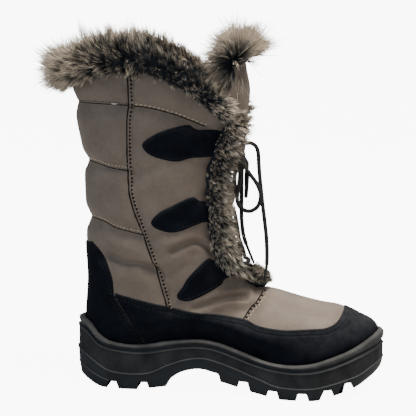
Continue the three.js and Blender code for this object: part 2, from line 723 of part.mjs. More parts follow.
// Row number of the last at which a test of the point there turns from false to true
function findRow(turn, passed) {
  let [low, high] = [0, 14];
  for (let i = 0; i < 30; i += 1) {
    const middle = (low + high) / 2;
    if (passed(lastPoint(middle, turn))) high = middle;
    else low = middle;
  }
  return high;
}

// Place and directions on the front of the last at a given y and height
function frontPlace(y, up) {
  const sign = y < 0 ? -1 : 1;
  const z = height(up);
  let [low, high] = [0, Math.PI / 2];
  let v = 0;
  for (let i = 0; i < 30; i += 1) {
    const middle = (low + high) / 2;
    v = findRow(sign * middle, (p) => p.z < z);
    if (Math.abs(lastPoint(v, sign * middle).y) < Math.abs(y)) low = middle;
    else high = middle;
  }
  return stopAt(v, (sign * (low + high)) / 2);
}

function stopAt(v, turn) {
  const small = 0.02;
  const place = lastPoint(v, turn);
  const down = lastPoint(v + small, turn).sub(place);
  const round = lastPoint(v, turn + small).sub(place);
  const out = round.clone().cross(down).normalize().negate();
  return { place, out, up: down.normalize().negate() };
}

// Stops along the collar's edge, from one corner of the throat round the back to the other
const collarEdge = placed(collarLine);
function collarHeight(x) {
  let i = 0;
  while (i < collarEdge.length - 2 && collarEdge[i + 1][0] < x) i += 1;
  const [[ax, az], [bx, bz]] = [collarEdge[i], collarEdge[i + 1]];
  return mix(az, bz, Math.max(0, Math.min(1, (x - ax) / (bx - ax))));
}

function collarStops() {
  const stopCount = 20;
  const opening = 0.72; // radians from the middle of the front to the corner
  return Array.from({ length: stopCount + 1 }, (_, i) => {
    const turn = mix(-opening, -2 * Math.PI + opening, i / stopCount);
    const v = findRow(turn, (p) => p.z < collarHeight(p.x));
    const stop = stopAt(v, turn);
    const back = (1 - Math.cos(turn)) / 2;
    const pile = collarPile * mix(0.62, 1, ease(0.2, 0.6, back));
    const centre = stop.place.clone().addScaledVector(stop.up, pile * 0.33);
    centre.addScaledVector(stop.out, pile * mix(0.02, 0.08, back));
    return { ...stop, place: centre, pile, reach: mix(0.65, 0.5, back) };
  });
}

function placketStops(upFrom, upTo, sign) {
  const stopCount = 9;
  return Array.from({ length: stopCount + 1 }, (_, i) => {
    const up = mix(upFrom, upTo, i / stopCount);
    const stop = frontPlace(sign * (throatHalf(up) + placketPile * 0.2), up);
    const place = stop.place.clone().addScaledVector(stop.out, placketPile * 0.12);
    const across = stop.up.clone().cross(stop.out).normalize();
    return { place, out: stop.out, up: across, pile: placketPile, reach: 0.55 };
  });
}

function throatBaseStops() {
  const stopCount = 4;
  const half = throatHalfWidth * 0.55;
  return Array.from({ length: stopCount + 1 }, (_, i) => {
    const y = mix(-half, half, i / stopCount);
    const stop = frontPlace(y || 0.5, 1.01 + 0.04 * (y / half) ** 2);
    const place = stop.place.clone().addScaledVector(stop.out, placketPile * 0.08);
    return { ...stop, place, pile: placketPile * 0.65, reach: 0.35 };
  });
}

function tongueStops() {
  const stopCount = 6;
  const half = throatHalfWidth * 0.95;
  return Array.from({ length: stopCount + 1 }, (_, i) => {
    const y = mix(-half, half, i / stopCount);
    const up = tongueTop - 0.03 * Math.abs(y / half) ** 2;
    const stop = frontPlace(Math.abs(y) < 0.5 ? 0.5 : y, up);
    const place = stop.place.clone().addScaledVector(stop.up, tonguePile * 0.2);
    place.addScaledVector(stop.out, -wallThickness - quiltDepth - tongueThickness);
    return { ...stop, place, pile: tonguePile, reach: 0.75 };
  });
}

const clearOfUpper = shell(3 * gap + tabThickness, gap, 2 * gap);
const clearOfTongue = tongueBody(gap);
const inside = lining(0);

// The lace, as points chosen along its way
const laceLines = {
  lace_end_lateral: [
    [100.9, -3, 215.5], [100.8, -3.8, 219.6], [102.4, -4.9, 224.2], [106.6, -6, 227.3],
    [111.9, -6.8, 227.3], [116.1, -7.6, 224.2], [117.9, -8.4, 219], [118.5, -9, 211], [119.5, -10, 199],
    [121.2, -11, 184.5], [122.6, -12, 172.7], [123.9, -12.5, 162.6], [125.4, -13, 151],
    [126.6, -13.5, 139], [127.1, -14, 127], [127, -14.4, 117],
  ],
  lace_loop_lateral: [
    [104, -5, 214.5], [104.8, -8.8, 209.6], [107.2, -13, 205.6], [111.8, -16, 199.8], [117.6, -17.8, 192.5],
    [121, -18.5, 185], [121.1, -18.5, 177.2], [117.8, -18, 170.3], [111, -17, 166.6],
    [104.1, -16, 168.6], [100.1, -15, 174.3], [99.6, -13, 181.9], [100.7, -10, 190.3],
    [101.2, -7.5, 198.6], [100.5, -4.6, 207], [100, -3, 213],
  ],
  lace_loop_medial: [
    [104.2, 3, 212], [104.8, 6.5, 209.8], [105.3, 12, 207], [104.8, 18, 203], [103.8, 23.6, 197.8],
    [103.1, 27.3, 190.9], [103, 28.8, 183.4], [103.1, 27.2, 178.2], [103.4, 22.8, 174.9],
    [104, 17.3, 174.9], [104.7, 13, 178.2], [105.3, 11.4, 183.4], [105.8, 10.8, 190.7], [106, 9, 197.8],
    [105.6, 5.9, 204.2], [104.8, 2.6, 210.5],
  ],
  lace_end_medial: [
    [101.5, 0, 212], [102, 1.5, 205], [101.8, 2.5, 195], [101.6, 3.5, 183], [101.4, 4, 172],
    [101.4, 4, 160], [102, 4, 150], [103.5, 4, 140], [106, 4, 132],
  ],
};
const agletEnds = {
  aglet_lateral: [[127, -14.4, 117], [124.7, -15, 97]],
  aglet_medial: [[106, 4, 132], [113.2, 4, 114.5]],
};
const knotPlace = [101, -1, 216];

function cordSolid(points, diameter, sides = 8) {
  const path = new THREE.CatmullRomCurve3(points.map((p) => new THREE.Vector3(...p)));
  const corners = Array.from({ length: sides }, (_, k) => {
    const turn = (2 * Math.PI * k) / sides;
    return new THREE.Vector2(Math.cos(turn), Math.sin(turn)).multiplyScalar(diameter / 2);
  });
  const stepCount = Math.max(1, Math.round(path.getLength() / (3.4 * diameter)));
  const options = { steps: stepCount, extrudePath: path, bevelEnabled: false };
  return solidOfGeometry(new THREE.ExtrudeGeometry(new THREE.Shape(corners), options));
}

function makeKnot(clearance) {
  const ball = new THREE.SphereGeometry(1, 10, 7);
  const [x, y, z] = [0.42, 0.6, 0.5].map((share) => share * knotSize + clearance);
  return solidOfGeometry(ball.scale(x, y, z).translate(...knotPlace));
}

function makeLace(name) {
  return largest(cordSolid(laceLines[name], laceDiameter).subtract(makeKnot(gap)));
}

function makeAglet(name) {
  const [start, end] = agletEnds[name].map((p) => new THREE.Vector3(...p));
  const way = end.clone().sub(start).normalize();
  const tube = new THREE.CylinderGeometry(agletDiameter / 2, agletDiameter / 2 * 0.85, agletLength, 10);
  const turn = new THREE.Quaternion().setFromUnitVectors(new THREE.Vector3(0, -1, 0), way);
  const middle = start.addScaledVector(way, agletLength / 2 + gap + 0.2);
  return solidOfGeometry(tube.applyQuaternion(turn).translate(...middle.toArray()));
}

// Where the lace meets the straps, as heights, and its way over the tongue between them
const strapHeights = [1.69, 1.368, 1.1];
const knotUp = 1.615;
function laceOverTongue(clearance, fromY, fromUp, toY, toUp) {
  const points = [0, 0.5, 1].map((t) => {
    const { place, out } = frontPlace(mix(fromY, toY, t) || 0.01, mix(fromUp, toUp, t));
    return place.addScaledVector(out, laceDiameter / 2 + 4 * gap + tabThickness).toArray();
  });
  return cordSolid(points, laceDiameter + 2 * clearance, 6);
}

function makeCrossings(clearance) {
  const reach = strapHeights.map((up) => throatHalf(up) * 0.86);
  const [top, middle, low] = strapHeights;
  const cords = [
    [-reach[2], low, reach[2], low],
    [-reach[2], low, reach[1], middle],
    [reach[2], low, -reach[1], middle],
    [-reach[1], middle, reach[0], top],
    [reach[1], middle, -reach[0], top],
    [-reach[0], top, -knotSize * 0.2, knotUp],
    [reach[0], top, knotSize * 0.2, knotUp],
  ];
  return wasm.Manifold.union(cords.map((ends) => laceOverTongue(clearance, ...ends)));
}

const boot = new THREE.Group();
const add = (name, solid, material) => boot.add(meshOf(name, solid, material));

add("outsole", makeOutsole(), rubber);
add("insole", makeInsole(), board);
add("upper", makeUpper(), nylon);
add("tongue", makeTongue(), nylon);
add("heel_counter", makeHeelCounter(), suede);
add("mudguard", makeMudguard(), suede);

const sides = { lateral: -1, medial: 1 };
Object.entries(sides).forEach(([sideName, sign]) => {
  add(`seam_strip_${sideName}`, makeSeamStrip(sign), nylon);
  tabOutlines.forEach((_, index) => {
    add(`lace_tab_${sideName}_${index + 1}`, makeLaceTab(index, sign), suede);
  });
});

const laces = Object.keys(laceLines).map((name) => [name, makeLace(name)]);
const cordRoom = laces.map(([name]) => cordSolid(laceLines[name], laceDiameter + 3 * gap));
const crossings = makeCrossings(0).subtract(makeKnot(gap));
add("lace_crossings", crossings, cordFinish);
add("lace_knot", makeKnot(0), cordFinish);
laces.forEach(([name, solid]) => add(name, solid, cordFinish));
Object.keys(agletEnds).forEach((name) => add(name, makeAglet(name), plastic));

// Heights between which the roll of fur runs beside the throat, over the ends of the straps
const placketSpan = [1.67, 1.14];
const roomForTabs = wasm.Manifold.union(
  tabOutlines.flatMap((_, index) => Object.values(sides).map((sign) => tabBody(index, sign, gap))),
);
const agletRoom = Object.values(agletEnds).map((ends) => cordSolid(ends, agletDiameter + 4 * gap));
const roomForCords = wasm.Manifold.union([...cordRoom, ...agletRoom, makeKnot(gap), makeCrossings(gap)]);
function trimFur(solid) {
  const clear = solid.subtract(clearOfUpper).subtract(inside).subtract(roomForCords).subtract(roomForTabs);
  return largest(clear.subtract(clearOfTongue));
}

const collarFur = makeFur(collarStops(), 2, [-0.4, 2.3]).subtract(clearOfUpper).subtract(clearOfTongue);
add("fur_collar", largest(collarFur), fur);
Object.entries(sides).forEach(([sideName, sign]) => {
  const roll = makeFur(placketStops(...placketSpan, sign), 2, [0.1, 3]);
  add(`fur_placket_${sideName}`, trimFur(roll), fur);
});
add("fur_throat_base", trimFur(makeFur(throatBaseStops(), 2, [-0.4, 1.8])), fur);
add("fur_tongue", largest(makeFur(tongueStops(), 3, [-0.6, 3.4]).subtract(clearOfTongue)), fur);

export default boot;
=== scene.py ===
# Snow boot, right foot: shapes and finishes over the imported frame
import math
import bmesh
import bpy
import numpy as np
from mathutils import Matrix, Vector
from mathutils.bvhtree import BVHTree


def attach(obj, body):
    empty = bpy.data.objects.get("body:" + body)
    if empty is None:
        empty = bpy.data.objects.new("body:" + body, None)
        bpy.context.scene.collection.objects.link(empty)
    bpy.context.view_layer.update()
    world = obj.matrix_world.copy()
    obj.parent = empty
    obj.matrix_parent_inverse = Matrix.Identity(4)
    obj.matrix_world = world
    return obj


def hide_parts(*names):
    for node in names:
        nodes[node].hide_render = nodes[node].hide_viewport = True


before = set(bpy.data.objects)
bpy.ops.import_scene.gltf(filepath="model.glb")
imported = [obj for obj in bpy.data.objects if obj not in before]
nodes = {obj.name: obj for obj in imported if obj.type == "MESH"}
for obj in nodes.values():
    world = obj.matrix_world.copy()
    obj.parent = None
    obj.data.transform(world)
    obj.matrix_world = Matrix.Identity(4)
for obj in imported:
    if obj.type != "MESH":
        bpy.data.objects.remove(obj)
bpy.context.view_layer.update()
mm = 0.001

# Camera and stage

cameraSetup = {
    "target": (0.07083, 0, 0.16585),
    "azimuth": 8,  # degrees to the toe's side of straight from the outer side
    "elevation": 9.5,
    "distance": 1.4,
    "lens": 131.5,
}


def addCamera(setup):
    side, rise = math.radians(setup["azimuth"]), math.radians(setup["elevation"])
    away = Vector((math.sin(side) * math.cos(rise), -math.cos(side) * math.cos(rise), math.sin(rise)))
    bpy.ops.object.select_all(action="DESELECT")
    bpy.ops.object.camera_add(location=Vector(setup["target"]) + setup["distance"] * away)
    camera = bpy.context.object
    camera.rotation_euler = (-away).to_track_quat("-Z", "Y").to_euler()
    camera.data.lens = setup["lens"]
    camera.data.sensor_width = 36
    bpy.context.scene.camera = camera


addCamera(cameraSetup)
print("camera placed")

# Small helpers


def startFresh():
    if bpy.context.object and bpy.context.object.mode != "OBJECT":
        bpy.ops.object.mode_set(mode="OBJECT")
    bpy.ops.object.select_all(action="DESELECT")


def pickOnly(piece):
    startFresh()
    piece.select_set(True)
    bpy.context.view_layer.objects.active = piece


def nameIt(name):
    piece = bpy.context.object
    piece.name = piece.data.name = name
    return piece


def applyModifier(piece, kind, **values):
    pickOnly(piece)
    modifier = piece.modifiers.new(kind.lower(), kind)
    for key, value in values.items():
        setattr(modifier, key, value)
    bpy.ops.object.modifier_apply(modifier=modifier.name)


def readPoints(piece):
    points = np.empty(3 * len(piece.data.vertices))
    piece.data.vertices.foreach_get("co", points)
    return points.reshape(-1, 3) / mm


def writePoints(piece, points):
    piece.data.vertices.foreach_set("co", (np.asarray(points) * mm).ravel())
    piece.data.update()


def smooth(low, high, value):
    t = np.clip((value - low) / (high - low), 0, 1)
    return t * t * (3 - 2 * t)


def mix(a, b, t):
    return a + (b - a) * t


def unit(rows):
    return rows / np.maximum(np.linalg.norm(rows, axis=-1, keepdims=True), 1e-9)


def lengthAlong(line):
    return np.concatenate([[0], np.cumsum(np.linalg.norm(np.diff(line, axis=0), axis=1))])


def readAt(at, length, rows):
    # the rows' values at places between them
    return np.stack([np.interp(at, length, column) for column in rows.T], 1)


def smoothShade(piece):
    pickOnly(piece)
    bpy.ops.object.shade_smooth()


def placeMesh(name, mesh):
    piece = bpy.data.objects.new(name, mesh)
    bpy.context.scene.collection.objects.link(piece)
    return piece


def addGrid(name, rows, columns, points):
    # a grid primitive laid on given points
    startFresh()
    bpy.ops.mesh.primitive_grid_add(x_subdivisions=columns - 1, y_subdivisions=rows - 1, size=1)
    piece = nameIt(name)
    writePoints(piece, points)
    return piece


def closeUp(piece, nearest, fillEnds=False):
    # joins the points that meet, closes open ends if asked to, and turns the faces one way
    pickOnly(piece)
    bpy.ops.object.mode_set(mode="EDIT")
    bpy.ops.mesh.select_all(action="SELECT")
    bpy.ops.mesh.remove_doubles(threshold=nearest)
    if fillEnds:
        bpy.ops.mesh.select_all(action="DESELECT")
        bpy.ops.mesh.select_non_manifold()
        bpy.ops.mesh.fill_holes(sides=0)
        bpy.ops.mesh.select_all(action="SELECT")
    bpy.ops.mesh.normals_make_consistent(inside=False)
    bpy.ops.object.mode_set(mode="OBJECT")


def settle(piece, slot, *replaced):
    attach(piece, "root")
    if replaced:
        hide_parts(*replaced)


# The last, from the same named sizes and tables as the solids, in millimetres

boot = {
    "soleLength": 288,
    "ballWidth": 108,
    "heelToBack": 54,
    "soleHeight": 43,
    "rimWidth": 5,
    "waistInset": 2,
    "heelLean": 3,
    "instepHeight": 95,
    "shaftHeight": 292,
    "wallThickness": 2.5,
    "suedeThickness": 1.2,
    "gap": 0.3,
    "blendStart": 3,
    "blendEnd": 22,
    "throatHalfWidth": 28,
}


def table(names, rows):
    return dict(zip(names.split(), np.array(rows, float).T))


def atRow(column, v):
    v = np.asarray(v, float)
    last = len(column) - 1
    i = np.clip(np.floor(v).astype(int), 0, last - 1)
    t = v - i
    a, b, c, d = (column[np.clip(i + k, 0, last)] for k in (-1, 0, 1, 2))
    curve = (2 * a - 5 * b + 4 * c - d) * t * t + (3 * b - a - 3 * c + d) * t**3
    return 0.5 * (2 * b + (c - a) * t + curve)


def atShare(rows, key, share):
    at = rows["at"]
    share = np.asarray(share, float)
    i = np.clip(np.searchsorted(at, share) - 1, 0, len(at) - 2)
    return atRow(rows[key], i + np.clip((share - at[i]) / (at[i + 1] - at[i]), 0, 1))


def along(share):
    return np.asarray(share) * boot["soleLength"] - boot["heelToBack"]


def shareOf(x):
    return (x + boot["heelToBack"]) / boot["soleLength"]


def height(up):
    up = np.asarray(up, float)
    instep, top = boot["instepHeight"], boot["shaftHeight"]
    return np.where(up <= 1, up * instep, instep + (up - 1) * (top - instep))


def placed(points):
    points = np.array(points, float)
    return np.stack([along(points[:, 0]), height(points[:, 1])], 1)


outline = table("at lateral medial", [
    [0, 0, 0], [0.012, 0.115, 0.11], [0.035, 0.195, 0.19], [0.075, 0.28, 0.268],
    [0.13, 0.335, 0.318], [0.22, 0.35, 0.335], [0.34, 0.335, 0.302], [0.45, 0.345, 0.294],
    [0.56, 0.4, 0.345], [0.66, 0.47, 0.432], [0.74, 0.5, 0.48], [0.82, 0.475, 0.475],
    [0.9, 0.38, 0.415], [0.95, 0.26, 0.32], [0.985, 0.1, 0.205], [1, -0.065, 0.065],
])
side = table("at lug ridge groove rim floor", [
    [0, 0.209, 0.779, 1.279, 1.453, 0.721], [0.045, 0.107, 0.698, 1.221, 1.384, 0.721],
    [0.086, 0.019, 0.558, 1.012, 1.186, 0.721], [0.125, 0, 0.43, 0.921, 1.065, 0.721],
    [0.18, 0, 0.377, 0.872, 1.005, 0.721], [0.23, 0, 0.381, 0.856, 1, 0.721],
    [0.265, 0.044, 0.419, 0.874, 1.028, 0.737], [0.31, 0.084, 0.558, 0.93, 1.084, 0.791],
    [0.37, 0.14, 0.705, 0.991, 1.13, 0.849], [0.43, 0.209, 0.767, 1.014, 1.153, 0.874],
    [0.485, 0.244, 0.702, 0.96, 1.1, 0.826], [0.535, 0.177, 0.605, 0.86, 1.005, 0.733],
    [0.58, 0.105, 0.5, 0.767, 0.907, 0.64], [0.63, 0.049, 0.395, 0.693, 0.809, 0.553],
    [0.67, 0, 0.31, 0.652, 0.77, 0.505], [0.72, 0, 0.284, 0.63, 0.763, 0.488],
    [0.79, 0, 0.3, 0.655, 0.815, 0.5], [0.852, 0.084, 0.381, 0.744, 0.93, 0.535],
    [0.893, 0.163, 0.451, 0.833, 1.019, 0.581], [0.93, 0.244, 0.521, 0.919, 1.116, 0.628],
    [0.98, 0.395, 0.674, 1.012, 1.256, 0.721], [1, 0.453, 0.721, 1.035, 1.302, 0.767],
])
sections = table("frontAt frontUp backAt backUp lateral medial middle widest backPower frontPower", [
    [0.572, 2.112, -0.014, 2.112, 0.463, 0.463, 0, 0.46, 2.3, 2.3],
    [0.582, 2.02, -0.008, 2.01, 0.463, 0.463, 0, 0.46, 2.3, 2.3],
    [0.591, 1.898, 0.006, 1.878, 0.463, 0.463, 0, 0.46, 2.3, 2.3],
    [0.577, 1.777, 0.016, 1.756, 0.458, 0.458, 0, 0.46, 2.3, 2.3],
    [0.53, 1.645, 0.029, 1.645, 0.449, 0.449, 0, 0.47, 2.3, 2.3],
    [0.503, 1.523, 0.035, 1.523, 0.44, 0.435, 0, 0.48, 2.3, 2.2],
    [0.503, 1.391, 0.038, 1.391, 0.426, 0.421, 0, 0.48, 2.3, 2.2],
    [0.51, 1.269, 0.042, 1.259, 0.407, 0.398, 0, 0.48, 2.25, 2.2],
    [0.524, 1.178, 0.044, 1.127, 0.389, 0.38, 0, 0.48, 2.25, 2.2],
    [0.545, 1.112, 0.042, 0.989, 0.375, 0.361, 0.005, 0.48, 2.25, 2.2],
    [0.569, 1.063, 0.037, 0.695, 0.37, 0.352, 0.009, 0.48, 2.25, 2.2],
    [0.594, 1.025, 0.024, 0.442, 0.375, 0.352, 0.014, 0.48, 2.4, 2.2],
    [0.616, 1.003, 0.049, 0.263, 0.38, 0.356, 0.019, 0.46, 2.6, 2.2],
    [0.639, 0.981, 0.149, 0.2, 0.394, 0.37, 0.019, 0.42, 2.8, 2.2],
    [0.674, 0.94, 0.288, 0.232, 0.407, 0.389, 0.019, 0.38, 2.8, 2.2],
    [0.729, 0.885, 0.462, 0.221, 0.431, 0.417, 0.014, 0.36, 2.8, 2.25],
    [0.792, 0.841, 0.646, 0.126, 0.44, 0.431, 0.014, 0.36, 2.8, 2.35],
    [0.851, 0.812, 0.771, 0.126, 0.412, 0.412, 0.023, 0.37, 2.8, 2.4],
    [0.899, 0.75, 0.861, 0.147, 0.347, 0.352, 0.037, 0.38, 2.7, 2.4],
    [0.935, 0.685, 0.917, 0.189, 0.259, 0.269, 0.051, 0.39, 2.6, 2.3],
    [0.955, 0.625, 0.946, 0.232, 0.162, 0.167, 0.06, 0.4, 2.4, 2.2],
    [0.967, 0.537, 0.962, 0.295, 0.074, 0.074, 0.065, 0.45, 2.2, 2.2],
])
throat = table("at wide", [[0.98, 0.3], [1.03, 0.5], [1.15, 0.72], [1.5, 0.86], [1.75, 1], [2.4, 1.05]])


def sideHeight(key, at):
    return atShare(side, key, at) * boot["soleHeight"]


def leanAt(at):
    return boot["heelLean"] * (1 - smooth(0, 0.14, at))


def soleLoop(stationCount, insetAt):
    # heel to toe along the outer side and back along the inner one
    v = np.linspace(0, len(outline["at"]) - 1, stationCount + 1)
    at = np.clip(atRow(outline["at"], v), 0, 1)
    width = boot["ballWidth"]
    lateral, medial = -atRow(outline["lateral"], v) * width, atRow(outline["medial"], v) * width
    share = np.concatenate([at, at[-2:0:-1]])
    loop = np.stack([along(share), np.concatenate([lateral, medial[-2:0:-1]])], 1)
    tangent = unit(np.roll(loop, -1, 0) - np.roll(loop, 1, 0))
    inward = np.stack([-tangent[:, 1], tangent[:, 0]], 1)
    return loop + inward * insetAt(share)[:, None], share


def cupInset(at):
    inset = boot["rimWidth"] + 2 * boot["gap"] + boot["suedeThickness"] + leanAt(at)
    return inset + boot["waistInset"] * (smooth(0.3, 0.42, at) - smooth(0.6, 0.74, at))


cupLoop = soleLoop(60, cupInset)[0]


def reachInCup(start, way):
    best = np.zeros(len(start))
    for p, q in zip(cupLoop, np.roll(cupLoop, -1, 0)):
        e = q - p
        cross = way[:, 0] * e[1] - way[:, 1] * e[0]
        cross = np.where(np.abs(cross) < 1e-9, 1e-9, cross)
        reach = ((p[0] - start[:, 0]) * e[1] - (p[1] - start[:, 1]) * e[0]) / cross
        share = ((p[0] - start[:, 0]) * way[:, 1] - (p[1] - start[:, 1]) * way[:, 0]) / cross
        met = (share >= -1e-6) & (share <= 1 + 1e-6) & (reach > best)
        best = np.where(met, reach, best)
    return best


def fitToSole(points):
    x, y, z = points.T
    at = np.clip(shareOf(x), 0, 1)
    rim, floor = sideHeight("rim", at), sideHeight("floor", at)
    weight = 1 - smooth(rim + boot["blendStart"], rim + boot["blendEnd"], z)
    under = 1 - smooth(floor - 2 * boot["blendStart"], floor - 1, z)
    spineX = np.clip(x, along(0.13), along(0.81))
    share = shareOf(spineX)
    middle = 0.5 * (atShare(outline, "medial", share) - atShare(outline, "lateral", share))
    start = np.stack([spineX, middle * boot["ballWidth"]], 1)
    way = points[:, :2] - start
    size = np.linalg.norm(way, axis=1)
    way /= np.maximum(size, 1e-6)[:, None]
    edge = reachInCup(start, way)
    reach = mix(edge, np.minimum(size, edge), under)
    weight = np.where(size < 1, 0, weight)[:, None]
    fitted = points.copy()
    fitted[:, :2] = mix(points[:, :2], start + way * reach[:, None], weight)
    return fitted


def lastPoints(v, turn):
    # v counts rows of the sections, turn goes round from the front to the back
    v, turn = np.broadcast_arrays(v, turn)
    shape, v, turn = v.shape, v.ravel(), turn.ravel()
    front = np.cos(turn) >= 0
    power = 2 / np.where(front, atRow(sections["frontPower"], v), atRow(sections["backPower"], v))
    reach = np.abs(np.cos(turn)) ** power
    widest = atRow(sections["widest"], v)
    share = np.where(front, mix(widest, 1, reach), mix(widest, 0, reach))
    lateral = np.sin(turn) < 0
    half = np.abs(np.sin(turn)) ** power
    half = half * np.where(lateral, atRow(sections["lateral"], v), atRow(sections["medial"], v))
    y = (atRow(sections["middle"], v) + np.where(lateral, -half, half)) * boot["ballWidth"]
    x = mix(along(atRow(sections["backAt"], v)), along(atRow(sections["frontAt"], v)), share)
    z = mix(height(atRow(sections["backUp"], v)), height(atRow(sections["frontUp"], v)), share)
    return fitToSole(np.stack([x, y, z], 1)).reshape(*shape, 3)


def gridNormals(points, closed):
    down = np.gradient(points, axis=0)
    if closed:
        inner = points[:, :-1]
        across = np.roll(inner, -1, 1) - np.roll(inner, 1, 1)
        across = np.concatenate([across, across[:, :1]], 1)
    else:
        across = np.gradient(points, axis=1)
    return unit(-np.cross(across, down))


# Distances in the side view, in millimetres


def distanceTo(x, z, line):
    near = np.full(x.shape, 1e9)
    for (ax, az), (bx, bz) in zip(line[:-1], line[1:]):
        ex, ez = bx - ax, bz - az
        t = np.clip(((x - ax) * ex + (z - az) * ez) / (ex * ex + ez * ez), 0, 1)
        near = np.minimum(near, np.hypot(x - ax - t * ex, z - az - t * ez))
    return near


def insideOf(x, z, loop):
    # distance in from a closed outline, negative outside it
    closed = np.vstack([loop, loop[:1]])
    odd = np.zeros(x.shape, bool)
    for (ax, az), (bx, bz) in zip(closed[:-1], closed[1:]):
        if az == bz:
            continue
        crosses = ((az > z) != (bz > z)) & (x < (bx - ax) * (z - az) / (bz - az) + ax)
        odd ^= crosses
    near = distanceTo(x, z, closed)
    return np.where(odd, near, -near)


def rounded(points, closed=False, each=6):
    # a smooth line through chosen points
    points = np.array(points, float)
    if closed:
        points = np.vstack([points[-1:], points, points[:2]])
        v = np.arange(each, each * (len(points) - 2)) / each
    else:
        v = np.arange(0, each * (len(points) - 1) + 1) / each
    return np.stack([atRow(column, v) for column in points.T], 1)


def resampled(line, step):
    line = np.asarray(line, float)
    length = lengthAlong(line)
    return readAt(np.linspace(0, length[-1], max(2, int(round(length[-1] / step)) + 1)), length, line)


# Seams, folds and edges in the side view

collarEdge = placed([
    [-0.15, 1.985], [0.02, 1.985], [0.1, 2.004], [0.153, 2.017], [0.216, 2.027], [0.269, 2.017],
    [0.31, 2], [0.336, 1.983], [0.376, 1.95], [0.411, 1.915], [0.44, 1.879], [0.465, 1.84],
    [0.507, 1.792], [0.542, 1.767], [0.66, 1.72],
])
quilting = {
    "depth": 4.2, "spread": 7.5, "groove": 1.2, "grooveWidth": 1.7,
    "gather": 1.1, "gatherPitch": 6.2, "gatherFrom": 5, "gatherWidth": 6,
    "uneven": 0.45, "unevenScale": 13, "unevenSeed": 1.3,
}
looseRange = (60, 105)  # heights between which the cloth goes from tight on the foot to loose
seams = {
    "top": (0.75, [[-0.1, 1.856], [0.2, 1.858], [0.334, 1.828], [0.45, 1.762]]),
    "second": (1, [[-0.1, 1.585], [0.074, 1.584], [0.147, 1.566], [0.214, 1.556]]),
    "third": (1, [[-0.1, 1.318], [0.086, 1.315], [0.156, 1.283], [0.247, 1.258]]),
    "fold": (1, [[0.13, 1.152], [0.184, 1.127], [0.24, 1.122], [0.29, 1.1]]),
    "upright": (0.5, [
        [0.217, 1.99], [0.219, 1.87], [0.213, 1.741], [0.217, 1.462], [0.255, 1.279], [0.296, 1.1],
        [0.318, 0.98], [0.327, 0.88], [0.333, 0.81],
    ]),
    "vamp": (0.3, [[0.622, 1.0], [0.601, 0.89], [0.582, 0.832], [0.562, 0.735]]),
}
seamLines = {name: (depth, rounded(placed(line))) for name, (depth, line) in seams.items()}

# listed folds: points in x and z, depth, width
folds = [
    ([[-17, 124.5], [-1, 119.8], [15, 118.6], [29, 114.5]], 1.8, 3),
    ([[8, 196], [18, 201], [30, 210]], 1.7, 6),
    ([[52, 160], [60, 172], [74, 180]], 1.5, 6),
    ([[44, 133], [54, 137], [62, 139.5], [70, 138], [78, 132]], 3.2, 3.2),
    ([[40, 128], [52, 132], [63, 131]], 1.5, 6),
    ([[20, 112], [34, 110], [50, 116], [60, 120]], 1.7, 6),
    ([[64, 80], [76, 83.2], [92, 88.3], [108, 89]], 3.2, 3.2),
    ([[84, 72], [100, 77], [116, 80]], 1.2, 5),
    ([[58, 222], [64, 214], [80, 208]], 1.5, 6),
    ([[-8, 176], [-2, 190], [-6, 205]], 0.8, 9),
    ([[66, 200], [70, 188], [78, 180]], 0.9, 7),
    ([[-24, 262], [-18, 240], [-22, 225]], 0.7, 9),
    ([[30, 146], [36, 150], [46, 150]], 0.9, 5),
    ([[-6, 140], [4, 142], [18, 138]], 0.8, 8),
]
folds = [(rounded(line), depth, width) for line, depth, width in folds]


def ripple(x, z, scale, seed):
    # slow unevenness of hand-stuffed padding
    a = np.sin(x / scale + seed) * np.cos(z / (1.31 * scale) - 1.7 * seed)
    b = np.sin((x + 0.8 * z) / (0.63 * scale) + 2.1 * seed) * 0.5
    return a + b


def sinkAt(points):
    # how far the quilting and the folds pull the wall in
    x, y, z = points[..., 0], points[..., 1], points[..., 2]
    q = quilting
    sink = np.zeros(x.shape)
    near = np.full(x.shape, 1e9)
    for depth, line in seamLines.values():
        d = distanceTo(x, z, line)
        sink = np.maximum(sink, depth * q["depth"] * np.exp(-((d / q["spread"]) ** 2)))
        groove = min(1, 1.4 * depth) * q["groove"] * np.exp(-((d / q["grooveWidth"]) ** 2))
        sink = sink + groove
        near = np.minimum(near, d)
    # the gathers lean with the height and wander a little
    where = x + 0.35 * z + 4 * np.sin(z / 11) + 3 * np.sin(x / 7)
    gathers = np.abs(np.sin(where * math.pi / q["gatherPitch"])) * (0.6 + 0.4 * np.sin(where / 9.7))
    beside = (near - q["gatherFrom"]) / q["gatherWidth"]
    sink = sink + q["gather"] * gathers * np.exp(-(beside**2)) * smooth(70, 100, z)
    for line, depth, width in folds:
        d = distanceTo(x, z, line)
        swell = np.exp(-(((d - 1.7 * width) / width) ** 2))
        sink = sink + depth * (np.exp(-((d / width) ** 2)) - 0.35 * swell)
    loose = smooth(*looseRange, z) + 0.35
    return sink + q["uneven"] * loose * ripple(x + 0.4 * np.abs(y), z, q["unevenScale"], q["unevenSeed"])


def evenRows(low, high, step, turn=math.pi / 2):
    # rows of the last spaced evenly along one of its lines
    v = np.linspace(low, high, 600)
    length = lengthAlong(0.5 * (lastPoints(v, turn) + lastPoints(v, 0.0)))
    return np.interp(np.linspace(0, length[-1], int(length[-1] / step) + 2), length, v)


